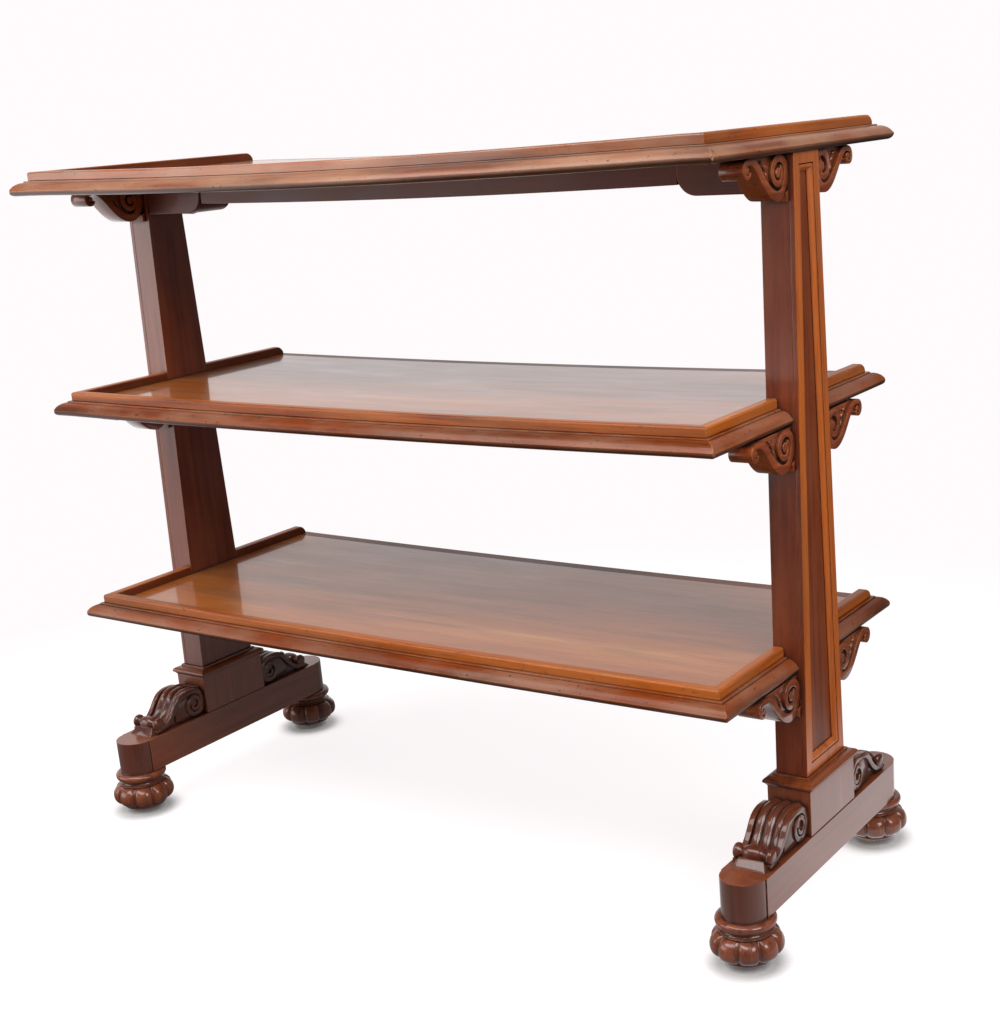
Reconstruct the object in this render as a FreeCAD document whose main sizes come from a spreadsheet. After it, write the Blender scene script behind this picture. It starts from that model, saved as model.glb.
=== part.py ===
import FreeCAD, Part
import math
import os

import Sketcher
from FreeCAD import Vector

doc = FreeCAD.newDocument("tiered_dumbwaiter")
sheet = doc.addObject("Spreadsheet::Sheet", "sizes")

# Driving dimensions in millimetres: name, value, what it measures
driving_sizes = [
    ("tier_length", 1180, "lower tiers over their end noses"),
    ("tier_depth", 500, "lower tiers over their long noses"),
    ("top_overhang", 18, "top tier past the lower tiers at each end"),
    ("top_depth", 504, "top tier over its long noses"),
    ("bottom_height", 352, "floor to the underside of the bottom tier"),
    ("middle_height", 683, "floor to the underside of the middle tier"),
    ("top_height", 1019, "floor to the underside of the top tier"),
    ("board_thick", 21, "thickness of board and edge moulding"),
    ("gallery_setback", 22, "nose to the outer face of the gallery"),
    ("gallery_thick", 16, "thickness of the gallery strip"),
    ("gallery_rise", 13, "height of the gallery over the board"),
    ("gallery_round", 12, "round at the open end of the gallery"),
    ("fillet_width", 5, "flat fillet between gallery and thumb moulding"),
    ("fillet_step", 1.5, "quirk below that fillet"),
    ("nose_height", 8, "height of the upright part of the nose"),
    ("nose_round", 4, "round under the nose"),
    ("upright_thick", 46.5, "thickness of an upright, frame included"),
    ("upright_top", 70, "depth of an upright under the top tier"),
    ("upright_foot", 116, "depth of an upright at its foot"),
    ("panel_recess", 7, "thickness of the frame round the panel"),
    ("stile_width", 15, "width of that frame's stiles and rails"),
    ("bead_width", 9, "width of the moulding inside the frame"),
    ("bead_rise", 4, "height of that moulding over the panel"),
    ("foot_lift", 10, "gap under the bun feet, held by the castors"),
    ("bun_height", 61, "bun foot from its base to the foot rail"),
    ("bun_width", 99, "largest diameter of the bun"),
    ("bun_base", 68, "diameter of the ring under the bun"),
    ("bun_belly", 21, "height of the widest place over the base"),
    ("bun_ring", 6, "height of the ring under the bun"),
    ("neck_width", 64, "diameter of the neck over the bun"),
    ("neck_height", 43, "height of the neck over the base"),
    ("collar_width", 82, "diameter of the collar ring"),
    ("collar_height", 12, "height of the collar ring"),
    ("spigot_width", 28, "diameter of the turned pin on the bun"),
    ("spigot_length", 24, "length of the turned pin on the bun"),
    ("foot_span", 406, "distance between the buns of one end"),
    ("rail_width", 66.8, "width of the foot rail"),
    ("rail_height", 55.5, "height of the foot rail"),
    ("rail_step", 1.2, "set-in of the rail's round ends"),
    ("plinth_width", 64.4, "width of the plinth block"),
    ("plinth_depth", 138, "depth of the plinth block"),
    ("plinth_height", 64, "height of the plinth block"),
    ("cap_height", 16, "height of the plinth's moulded cap"),
    ("cap_overhang", 5, "nose of the cap past the block"),
    ("cap_fillet", 3.5, "fillet of the cap round the upright's foot"),
    ("cap_fillet_rise", 3, "height of that fillet"),
    ("cap_cove", 5, "height of the hollow under the cap's nose"),
    ("cap_nose", 3, "height of the cap's nose"),
    ("knee_width", 56, "width of a scroll knee"),
    ("knee_length", 124, "scroll knee from plinth to toe"),
    ("knee_height", 52, "height of the scroll knee"),
    ("knee_roll", 11, "radius of the roll at the knee's toe"),
    ("knee_toe", 18, "toe in front of the roll's middle"),
    ("bracket_thick", 33, "thickness of a scroll bracket"),
    ("bracket_reach", 117, "bracket from upright to the end of its roll"),
    ("bracket_drop", 58, "height of a bracket"),
    ("bracket_roll", 11.5, "radius of the bracket's roll"),
    ("bracket_pad", 6, "size of the pad at the bracket's foot"),
    ("bearer_length", 120, "bearer block along the top tier"),
    ("bearer_drop", 48, "height of a bearer block"),
    ("bearer_round", 28, "round at the end of a bearer block"),
    ("top_rail_drop", 31, "height of the rail under the top tier"),
    ("top_rail_inset", 2.5, "set-back of that rail from the bearers"),
    ("tenon_thick", 10, "thickness of a shelf tongue and of a top tenon"),
    ("tenon_shoulder", 4, "shoulder beside a top tenon"),
    ("tenon_width", 44, "width of a shelf tongue and of a top tenon"),
    ("tenon_depth", 12, "height of a top tenon"),
    ("tongue_depth", 6, "shelf tongue housed in the upright"),
    ("post_tenon_thick", 18, "thickness of the upright's foot tenon"),
    ("post_tenon_width", 70, "width of the upright's foot tenon"),
    ("post_tenon_depth", 34, "foot tenon in the plinth block"),
    ("block_tenon_depth", 26, "plinth tenon in the foot rail"),
    ("joint_gap", 0.2, "clearance beside a tenon"),
    ("recess_width", 62, "diameter of the castor recess in the bun"),
    ("recess_depth", 38, "depth of the castor recess"),
    ("plate_width", 50, "diameter of a castor plate"),
    ("plate_thick", 3, "thickness of a castor plate"),
    ("boss_width", 18, "diameter of the bearing boss on the plate"),
    ("boss_height", 4, "height of the bearing boss"),
    ("pintle_width", 8, "diameter of the swivel pintle"),
    ("pintle_head", 12, "diameter of the pintle's riveted head"),
    ("pintle_head_thick", 2, "thickness of that head"),
    ("bridge_thick", 5, "thickness of the horn's bridge"),
    ("cheek_thick", 3, "thickness of a horn cheek"),
    ("cheek_width", 14, "width of a horn cheek at the axle"),
    ("wheel_width", 18, "width of a castor wheel"),
    ("wheel_size", 30, "diameter of a castor wheel"),
    ("wheel_round", 3, "round at the wheel's rims"),
    ("wheel_trail", 8, "axle behind the pintle"),
    ("axle_width", 6, "diameter of the wheel's axle"),
    ("running_gap", 0.4, "clearance between turning faces"),
    ("pin_gap", 0.05, "clearance round a turning pin"),
    ("screw_circle", 38, "pitch circle of the plate's screws"),
    ("screw_width", 4, "diameter of a plate screw"),
    ("screw_head", 7.5, "diameter of a screw head"),
    ("screw_length", 16, "length of a plate screw"),
    ("screw_gap", 0.1, "clearance round a screw"),
]
screws_per_plate = 3

# How round an arc is: its radius over its chord
quarter = 0.5 ** 0.5
curves = {
    "thumb": 0.9, "cap_cove": 0.8, "cap_ovolo": 0.9, "bun": 0.72, "neck": 0.7,
    "bracket_belly": 0.85, "bracket_hollow": 0.75,
    "knee_instep": 0.8, "knee_shoulder": 0.62, "knee_back": 1.5,
}

# Where a carved outline turns, as a share of the piece's own size
shares = {
    "bracket_waist_out": 0.7, "bracket_waist_down": 0.53,
    "instep_out": 0.63, "instep_up": 0.62, "crown_out": 0.27, "back_up": 0.9, "roll_up": 1.2,
}

for row, (alias, value, note) in enumerate(driving_sizes, start=1):
    sheet.set(f"A{row}", alias)
    sheet.set(f"B{row}", str(value))
    sheet.set(f"C{row}", note)
    sheet.setAlias(f"B{row}", alias)
doc.recompute()


class Size:
    """A length that carries its value and its expression on the sheet."""

    def __init__(self, value, text):
        self.value = value
        self.text = text

    def joined(self, sign, other, value):
        return Size(value, f"({self.text} {sign} {as_size(other).text})")

    def __add__(self, other):
        return self.joined("+", other, self.value + as_size(other).value)

    def __sub__(self, other):
        return self.joined("-", other, self.value - as_size(other).value)

    def __mul__(self, other):
        return self.joined("*", other, self.value * as_size(other).value)

    def __truediv__(self, other):
        return self.joined("/", other, self.value / as_size(other).value)

    def __neg__(self):
        return Size(-self.value, f"(0 - {self.text})")


def as_size(number):
    return number if isinstance(number, Size) else Size(float(number), f"{number:.6f}")


def on_sheet(alias):
    return Size(float(sheet.get(alias)), f"sizes.{alias}")


def bind(item, path, length):
    item.setExpression(path, as_size(length).text)


def place(item, x, y, z):
    for axis, length in zip("xyz", (x, y, z)):
        bind(item, f"Placement.Base.{axis}", length)
    return item


zero = as_size(0)


def draw_outline(sketch, outline):
    """Closes an outline of (a, b) corners, run anticlockwise. A third number makes the stretch
    that arrives there an arc of so many chords' radius: positive bulges out, negative hollows in."""
    corners = [(as_size(c[0]), as_size(c[1]), c[2] if len(c) > 2 else None) for c in outline]
    count = len(corners)
    heads, tails = [], []
    for index in range(count):
        a0, b0, _ = corners[index]
        a1, b1, ratio = corners[(index + 1) % count]
        start = Vector(a0.value, b0.value, 0)
        end = Vector(a1.value, b1.value, 0)
        if ratio is None:
            edge = sketch.addGeometry(Part.LineSegment(start, end))
            heads.append((edge, 1))
            tails.append((edge, 2))
            continue
        chord = end - start
        radius = abs(ratio) * chord.Length
        side = Vector(-chord.y, chord.x, 0).normalize()
        reach = (radius ** 2 - (chord.Length / 2) ** 2) ** 0.5
        centre = (start + end) / 2 + side * (reach if ratio > 0 else -reach)
        first, last = (start, end) if ratio > 0 else (end, start)
        circle = Part.Circle(centre, Vector(0, 0, 1), radius)
        edge = sketch.addGeometry(Part.ArcOfCircle(circle, circle.parameter(first), circle.parameter(last)))
        heads.append((edge, 1 if ratio > 0 else 2))
        tails.append((edge, 2 if ratio > 0 else 1))
        run, rise = a1 - a0, b1 - b0
        rule = sketch.addConstraint(Sketcher.Constraint("Radius", edge, radius))
        length = f"sqrt({run.text} * {run.text} + {rise.text} * {rise.text})"
        sketch.setExpression(f"Constraints[{rule}]", f"{abs(ratio):.6f} * {length}")
    for index in range(count):
        sketch.addConstraint(Sketcher.Constraint("Coincident", *tails[index - 1], *heads[index]))
        for kind, length in zip(("DistanceX", "DistanceY"), corners[index][:2]):
            rule = sketch.addConstraint(Sketcher.Constraint(kind, *heads[index], length.value))
            bind(sketch, f"Constraints[{rule}]", length)


def new_sketch(body, plane, start, outline):
    """A sketch on one of the body's origin planes, moved along that plane's axis to start."""
    sketch = body.newObject("Sketcher::SketchObject", body.Name + "_outline")
    base = next(f for f in body.Origin.OriginFeatures if f.Role == plane + "_Plane")
    sketch.AttachmentSupport = [(base, "")]
    sketch.MapMode = "FlatFace"
    start = as_size(start)
    bind(sketch, "AttachmentOffset.Base.z", -start if plane == "XZ" else start)
    draw_outline(sketch, outline)
    return sketch


def prism(name, plane, start, length, outline):
    """An outline carried along +X, +Y or +Z from start."""
    body = doc.addObject("PartDesign::Body", name)
    sketch = new_sketch(body, plane, start, outline)
    pad = body.newObject("PartDesign::Pad", name + "_pad")
    pad.Profile = sketch
    pad.Reversed = plane == "XZ"
    bind(pad, "Length", length)
    sketch.Visibility = False
    return body


def turning(name, outline, axis="V_Axis"):
    """An outline in the XZ plane turned about its upright axis, or about its level one."""
    body = doc.addObject("PartDesign::Body", name)
    sketch = new_sketch(body, "XZ", 0, outline)
    turn = body.newObject("PartDesign::Revolution", name + "_turn")
    turn.Profile = sketch
    turn.ReferenceAxis = (sketch, [axis])
    turn.Angle = 360
    return body


def block(name, x, y, z, length, width, height):
    box = doc.addObject("Part::Box", name)
    bind(box, "Length", length)
    bind(box, "Width", width)
    bind(box, "Height", height)
    return place(box, x, y, z)


def rod(name, x, y, z, radius, length, along=None):
    bar = doc.addObject("Part::Cylinder", name)
    if along == "X":
        bar.Placement.Rotation = FreeCAD.Rotation(Vector(0, 1, 0), 90)
    bind(bar, "Radius", radius)
    bind(bar, "Height", length)
    return place(bar, x, y, z)


def joined(kind, name, pieces):
    whole = doc.addObject(kind, name)
    whole.Shapes = pieces
    return whole


def fused(name, *pieces):
    return joined("Part::MultiFuse", name, list(pieces))


def common(name, *pieces):
    return joined("Part::MultiCommon", name, list(pieces))


def cut(name, base, *tools):
    whole = doc.addObject("Part::Cut", name)
    whole.Base = base
    whole.Tool = tools[0] if len(tools) == 1 else group(name + "_tools", *tools)
    return whole


def group(name, *pieces):
    whole = doc.addObject("Part::Compound", name)
    whole.Links = list(pieces)
    return whole


def mirrored(name, source, normal):
    copy = doc.addObject("Part::Mirroring", name)
    copy.Source = source
    copy.Normal = normal
    return copy


across_length = Vector(1, 0, 0)  # right end to left end
across_depth = Vector(0, 1, 0)  # back to front
nodes = {}


def both_ends(name, right_piece):
    """The same piece at the right end and, mirrored, at the left end."""
    nodes[name + "_right"] = right_piece
    nodes[name + "_left"] = mirrored(name + "_left", right_piece, across_length)


def each_corner(name, piece):
    """The back right piece and its mirror images at the other corners."""
    nodes[name + "_back_right"] = piece
    nodes[name + "_back_left"] = mirrored(name + "_back_left", piece, across_length)
    front = mirrored(name + "_front_right", piece, across_depth)
    nodes[name + "_front_right"] = front
    nodes[name + "_front_left"] = mirrored(name + "_front_left", front, across_length)


size = {alias: on_sheet(alias) for alias, _, _ in driving_sizes}

# Levels from the floor up
rail_base = size["foot_lift"] + size["bun_height"]
rail_top = rail_base + size["rail_height"]
block_top = rail_top + size["plinth_height"]
post_foot = block_top + size["cap_height"]
post_top = size["top_height"]

# An upright's faces, and the edge strip that carries the gallery
strip_width = size["gallery_setback"] + size["gallery_thick"]
post_inner = size["tier_length"] / 2 - strip_width
post_outer = post_inner + size["upright_thick"]
post_middle = post_inner + size["upright_thick"] / 2
post_core = size["upright_thick"] - size["panel_recess"]


def post_face(level):
    """Half the depth of an upright at a level."""
    taper = (size["upright_foot"] - size["upright_top"]) / 2
    return size["upright_top"] / 2 + taper * (post_top - level) / (post_top - post_foot)


def tapered_outline(low, high, inset):
    """An upright's outline between two levels, drawn in by an inset at its sides."""
    low_half = post_face(low) - inset
    high_half = post_face(high) - inset
    return [(-low_half, low), (low_half, low), (high_half, high), (-high_half, high)]


top_length = size["tier_length"] + size["top_overhang"] * 2
tiers = {
    "bottom": (size["tier_length"], size["tier_depth"], size["bottom_height"]),
    "middle": (size["tier_length"], size["tier_depth"], size["middle_height"]),
    "top": (top_length, size["top_depth"], size["top_height"]),
}
upright_envelope = prism(
    "upright_envelope", "YZ", post_inner, size["upright_thick"], tapered_outline(post_foot, post_top, 0)
)


def edge_profile(reach, under):
    """Thumb moulding: round nose, convex slope, quirk and fillet."""
    thumb = reach - (size["gallery_setback"] - size["fillet_width"])
    upper = under + size["board_thick"]
    return [
        (reach - strip_width, under),
        (reach - size["nose_round"], under),
        (reach, under + size["nose_round"], quarter),
        (reach, under + size["nose_height"]),
        (thumb, upper - size["fillet_step"], curves["thumb"]),
        (thumb, upper),
        (reach - strip_width, upper),
    ]


def tongue_level(under):
    return under + (size["board_thick"] - size["tenon_thick"]) / 2


def make_board(tier):
    length, depth, under = tiers[tier]
    half_x, half_y = length / 2 - strip_width, depth / 2 - strip_width
    panel = block(f"panel_{tier}", -half_x, -half_y, under, half_x * 2, half_y * 2, size["board_thick"])
    gap = size["joint_gap"]
    if tier == "top":
        width = size["tenon_width"] + gap * 2
        thick = size["tenon_thick"] + gap * 2
        near = post_inner + size["tenon_shoulder"] - gap
        mortise = block("mortise_top", near, -width / 2, under, thick, width, size["tenon_depth"] + gap)
        other = mirrored("mortise_top_left", mortise, across_length)
        return cut("board_top", panel, mortise, other)
    tongue = block(
        f"tongue_{tier}", half_x, -size["tenon_width"] / 2, tongue_level(under),
        size["tongue_depth"], size["tenon_width"], size["tenon_thick"],
    )
    return fused(f"board_{tier}", panel, tongue, mirrored(f"tongue_{tier}_left", tongue, across_length))


def make_edges(tier):
    """Mitred edge strips: the two long ones, and the end ones that stop against the uprights."""
    length, depth, under = tiers[tier]
    half_x, half_y = length / 2, depth / 2
    in_x, in_y = half_x - strip_width, half_y - strip_width
    thick = size["board_thick"]
    long_bar = prism(f"long_bar_{tier}", "YZ", -half_x, length, edge_profile(half_y, under))
    long_plan = [(-in_x, in_y), (in_x, in_y), (half_x, half_y), (-half_x, half_y)]
    back = common(f"edge_back_{tier}", long_bar, prism(f"long_plan_{tier}", "XY", under, thick, long_plan))
    nodes[f"edge_long_{tier}"] = group(
        f"edge_long_{tier}", back, mirrored(f"edge_front_{tier}", back, across_depth)
    )
    end_bar = prism(f"end_bar_{tier}", "XZ", -half_y, depth, edge_profile(half_x, under))
    end_plan = [(in_x, -in_y), (half_x, -half_y), (half_x, half_y), (in_x, in_y)]
    end = common(f"edge_end_{tier}", end_bar, prism(f"end_plan_{tier}", "XY", under, thick, end_plan))
    if tier != "top":
        end = cut(f"edge_stopped_{tier}", end, upright_envelope)
    nodes[f"edge_ends_{tier}"] = group(
        f"edge_ends_{tier}", end, mirrored(f"edge_end_left_{tier}", end, across_length)
    )


def make_gallery(tier):
    """Low gallery on the front and both ends, open at the back, where its ends are rounded."""
    length, depth, under = tiers[tier]
    base = under + size["board_thick"]
    rise, thick = size["gallery_rise"], size["gallery_thick"]
    out_x = length / 2 - size["gallery_setback"]
    out_y = depth / 2 - size["gallery_setback"]
    in_x, in_y = out_x - thick, out_y - thick
    front_plan = [(-out_x, -out_y), (out_x, -out_y), (in_x, -in_y), (-in_x, -in_y)]
    nodes[f"gallery_front_{tier}"] = prism(f"gallery_front_{tier}", "XY", base, rise, front_plan)
    end_plan = [(in_x, -in_y), (out_x, -out_y), (out_x, out_y), (in_x, out_y)]
    end_side = [
        (-out_y, base),
        (out_y, base),
        (out_y, base + rise - size["gallery_round"]),
        (out_y - size["gallery_round"], base + rise, quarter),
        (-out_y, base + rise),
    ]
    end = common(
        f"gallery_end_{tier}",
        prism(f"gallery_plan_{tier}", "XY", base, rise, end_plan),
        prism(f"gallery_side_{tier}", "YZ", in_x, thick, end_side),
    )
    if tier != "top":
        end = cut(f"gallery_stopped_{tier}", end, upright_envelope)
    nodes[f"gallery_ends_{tier}"] = group(
        f"gallery_ends_{tier}", end, mirrored(f"gallery_end_left_{tier}", end, across_length)
    )


def make_bracket(tier):
    """S-shaped console with a roll under the tier and a pad at its foot, behind and before the upright."""
    under = tiers[tier][2]
    foot = under - size["bracket_drop"]
    roll, pad = size["bracket_roll"], size["bracket_pad"]
    wall, wall_foot = post_face(under), post_face(foot)
    roll_y = wall + size["bracket_reach"] - roll
    waist_y = wall + (size["bracket_reach"] - roll * 2) * shares["bracket_waist_out"]
    waist_z = under - size["bracket_drop"] * shares["bracket_waist_down"]
    outline = [
        (wall_foot, foot),
        (wall_foot + pad, foot),
        (wall_foot + pad, foot + pad),
        (waist_y, waist_z, curves["bracket_belly"]),
        (roll_y - roll, under - roll, -curves["bracket_hollow"]),
        (roll_y, under - roll * 2, quarter),
        (roll_y + roll, under - roll, quarter),
        (roll_y, under, quarter),
        (wall, under),
    ]
    near = post_middle - size["bracket_thick"] / 2
    back = prism(f"bracket_back_{tier}", "YZ", near, size["bracket_thick"], outline)
    front = mirrored(f"bracket_front_{tier}", back, across_depth)
    both_ends(f"brackets_{tier}", group(f"brackets_{tier}_right", back, front))


def make_uprights():
    gap = size["joint_gap"]
    core = prism("upright_core", "YZ", post_inner, post_core, tapered_outline(post_foot, post_top, 0))
    half_tenon = size["tenon_width"] / 2
    top_tenon = block(
        "top_tenon", post_inner + size["tenon_shoulder"], -half_tenon, post_top,
        size["tenon_thick"], size["tenon_width"], size["tenon_depth"],
    )
    deep = size["cap_height"] + size["post_tenon_depth"]
    foot_tenon = block(
        "foot_tenon", post_middle - size["post_tenon_thick"] / 2, -size["post_tenon_width"] / 2,
        post_foot - deep, size["post_tenon_thick"], size["post_tenon_width"], deep,
    )
    housings = [
        block(
            f"housing_{tier}", post_inner, -half_tenon - gap, tongue_level(tiers[tier][2]) - gap,
            size["tongue_depth"] + gap, size["tenon_width"] + gap * 2, size["tenon_thick"] + gap * 2,
        )
        for tier in ("bottom", "middle")
    ]
    both_ends("upright", cut("upright_right", fused("upright_post", core, top_tenon, foot_tenon), *housings))


def mitred_frame(name, start, thick, outer, width):
    """Four mitred strips that follow an upright's outline, drawn in from its edges by outer."""
    inner = outer + width
    low, high = post_foot + outer, post_top - outer
    low_in, high_in = post_foot + inner, post_top - inner
    low_y, high_y = post_face(low) - outer, post_face(high) - outer
    low_in_y, high_in_y = post_face(low_in) - inner, post_face(high_in) - inner
    stile = [(low_in_y, low_in), (low_y, low), (high_y, high), (high_in_y, high_in)]
    head = [(-high_in_y, high_in), (high_in_y, high_in), (high_y, high), (-high_y, high)]
    sill = [(-low_y, low), (low_y, low), (low_in_y, low_in), (-low_in_y, low_in)]
    back = prism(name + "_back", "YZ", start, thick, stile)
    strips = [back, mirrored(name + "_front", back, across_depth)]
    strips.append(prism(name + "_head", "YZ", start, thick, head))
    strips.append(prism(name + "_sill", "YZ", start, thick, sill))
    both_ends(name, group(name + "_right", *strips))


def make_panels():
    face = post_inner + post_core
    mitred_frame("panel_frame", face, size["panel_recess"], zero, size["stile_width"])
    mitred_frame("panel_moulding", face, size["bead_rise"], size["stile_width"], size["bead_width"])


def cap_profile(half, post_half, middle):
    """Plinth cap from the hollow under its nose up to the fillet, on both sides of a middle."""
    nose = half + size["cap_overhang"]
    neck = post_half + size["cap_fillet"]
    cove = block_top + size["cap_cove"]
    side = [
        (half, block_top, None),
        (nose, cove, -curves["cap_cove"]),
        (nose, cove + size["cap_nose"], None),
        (neck, post_foot - size["cap_fillet_rise"], curves["cap_ovolo"]),
        (neck, post_foot, None),
    ]
    bulges = [bulge for _, _, bulge in side[1:]] + [None]
    right = [(middle + reach, level, bulge) for reach, level, bulge in side]
    left = [(middle - reach, level, bulge) for (reach, level, _), bulge in zip(side, bulges)]
    return right + left[::-1]


def make_plinths():
    gap = size["joint_gap"]
    half_x, half_y = size["plinth_width"] / 2, size["plinth_depth"] / 2
    width = size["post_tenon_width"] + gap * 2
    thick = size["post_tenon_thick"] + gap * 2
    deep = size["post_tenon_depth"] + gap
    mortise = block(
        "post_mortise", post_middle - thick / 2, -width / 2, block_top - deep,
        thick, width, deep + size["cap_height"],
    )
    low_tenon = block(
        "block_tenon", post_middle - size["post_tenon_thick"] / 2, -size["post_tenon_width"] / 2,
        rail_top - size["block_tenon_depth"],
        size["post_tenon_thick"], size["post_tenon_width"], size["block_tenon_depth"],
    )
    body = block(
        "plinth_body", post_middle - half_x, -half_y, rail_top,
        size["plinth_width"], size["plinth_depth"], size["plinth_height"],
    )
    both_ends("plinth_block", cut("plinth_block_right", fused("plinth_solid", body, low_tenon), mortise))

    reach_x, reach_y = half_x + size["cap_overhang"], half_y + size["cap_overhang"]
    along = cap_profile(half_x, size["upright_thick"] / 2, post_middle)
    over = cap_profile(half_y, size["upright_foot"] / 2, zero)
    cap = common(
        "cap_solid",
        prism("cap_along", "XZ", -reach_y, reach_y * 2, along),
        prism("cap_across", "YZ", post_middle - reach_x, reach_x * 2, over),
    )
    both_ends("plinth_cap", cut("plinth_cap_right", cap, mortise))


def make_foot_rails():
    gap = size["joint_gap"]
    half = size["rail_width"] / 2
    end = half - size["rail_step"]
    run = size["foot_span"] / 2
    left, right = post_middle - half, post_middle + half
    outline = [
        (left, run),
        (left, -run),
        (post_middle - end, -run),
        (post_middle, -run - end, quarter),
        (post_middle + end, -run, quarter),
        (right, -run),
        (right, run),
        (post_middle + end, run),
        (post_middle, run + end, quarter),
        (post_middle - end, run, quarter),
    ]
    rail = prism("rail_solid", "XY", rail_base, size["rail_height"], outline)
    thick = size["post_tenon_thick"] + gap * 2
    width = size["post_tenon_width"] + gap * 2
    deep = size["block_tenon_depth"] + gap
    mortise = block("rail_mortise", post_middle - thick / 2, -width / 2, rail_top - deep, thick, width, deep)
    socket = rod(
        "spigot_socket", post_middle, run, rail_base,
        size["spigot_width"] / 2 + gap, size["spigot_length"] + gap,
    )
    other = mirrored("spigot_socket_front", socket, across_depth)
    both_ends("foot_rail", cut("foot_rail_right", rail, mortise, socket, other))


def make_knees():
    """Scroll knee: convex shoulder, hollow instep, roll and bevelled toe."""
    wall = size["plinth_depth"] / 2
    toe = wall + size["knee_length"]
    roll = size["knee_roll"]
    roll_y = toe - size["knee_toe"]
    roll_z = rail_top + roll * shares["roll_up"]
    sweep = size["knee_length"] - size["knee_toe"] - roll
    instep = wall + sweep * shares["instep_out"]
    crown = wall + sweep * shares["crown_out"]
    height = size["knee_height"]
    outline = [
        (wall, rail_top),
        (toe, rail_top),
        (roll_y + roll, rail_top + roll),
        (roll_y + roll, roll_z),
        (roll_y, roll_z + roll, quarter),
        (roll_y - roll, roll_z, quarter),
        (instep, rail_top + height * shares["instep_up"], -curves["knee_instep"]),
        (crown, rail_top + height, curves["knee_shoulder"]),
        (wall, rail_top + height * shares["back_up"], curves["knee_back"]),
    ]
    near = post_middle - size["knee_width"] / 2
    each_corner("scroll_knee", prism("scroll_knee_back_right", "YZ", near, size["knee_width"], outline))


castor_y = size["foot_span"] / 2
recess_top = size["foot_lift"] + size["recess_depth"]
boss_face = recess_top - size["plate_thick"] - size["boss_height"]
bridge_top = boss_face - size["running_gap"]
bridge_base = bridge_top - size["bridge_thick"]
axle_z = size["wheel_size"] / 2
axle_y = castor_y - size["wheel_trail"]
horn_half = size["wheel_width"] / 2 + size["running_gap"] + size["cheek_thick"]


def plate_screws(name, gap):
    """Countersunk screws round a castor plate, or with a gap the holes they sit in."""
    face = recess_top - size["plate_thick"]
    head, shank = size["screw_head"] / 2 + gap, size["screw_width"] / 2 + gap
    tip = face + size["screw_length"] + gap
    outline = [
        (zero, face),
        (head, face),
        (shank, face + head - shank),
        (shank, tip - shank),
        (zero, tip),
    ]
    screws = []
    for step in range(screws_per_plate):
        turn = math.radians(90 + step * 360 / screws_per_plate)
        screw = turning(f"{name}_{step + 1}", outline)
        reach = size["screw_circle"] / 2
        x = post_middle + reach * round(math.cos(turn), 6)
        screws.append(place(screw, x, castor_y + reach * round(math.sin(turn), 6), zero))
    return group(name, *screws)


def make_bun_feet(screw_holes):
    """Turned bun under a collar ring, hollowed for its castor, with a pin into the foot rail."""
    base = size["foot_lift"]
    recess, ring = size["recess_width"] / 2, size["bun_base"] / 2
    neck, pin = size["neck_width"] / 2, size["spigot_width"] / 2
    collar = size["collar_width"] / 2
    collar_in = collar - size["collar_height"] / 2
    outline = [
        (recess, base),
        (ring, base),
        (ring, base + size["bun_ring"]),
        (size["bun_width"] / 2, base + size["bun_belly"], curves["bun"]),
        (neck, base + size["neck_height"], curves["bun"]),
        (neck, rail_base - size["collar_height"], -curves["neck"]),
        (collar_in, rail_base - size["collar_height"]),
        (collar, rail_base - size["collar_height"] / 2, quarter),
        (collar_in, rail_base, quarter),
        (pin, rail_base),
        (pin, rail_base + size["spigot_length"]),
        (zero, rail_base + size["spigot_length"]),
        (zero, recess_top),
        (recess, recess_top),
    ]
    bun = place(turning("bun_solid", outline), post_middle, castor_y, zero)
    each_corner("bun_foot", cut("bun_foot_back_right", bun, screw_holes))


def make_castor_plates(screw_holes):
    """Plate with its bearing boss and the riveted pintle that the horn swivels on."""
    head_top = bridge_base - size["running_gap"]
    head, pintle = size["pintle_head"] / 2, size["pintle_width"] / 2
    boss, rim = size["boss_width"] / 2, size["plate_width"] / 2
    outline = [
        (zero, head_top - size["pintle_head_thick"]),
        (head, head_top - size["pintle_head_thick"]),
        (head, head_top),
        (pintle, head_top),
        (pintle, boss_face),
        (boss, boss_face),
        (boss, recess_top - size["plate_thick"]),
        (rim, recess_top - size["plate_thick"]),
        (rim, recess_top),
        (zero, recess_top),
    ]
    plate = place(turning("plate_solid", outline), post_middle, castor_y, zero)
    each_corner("castor_plate", cut("castor_plate_back_right", plate, screw_holes))


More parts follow.
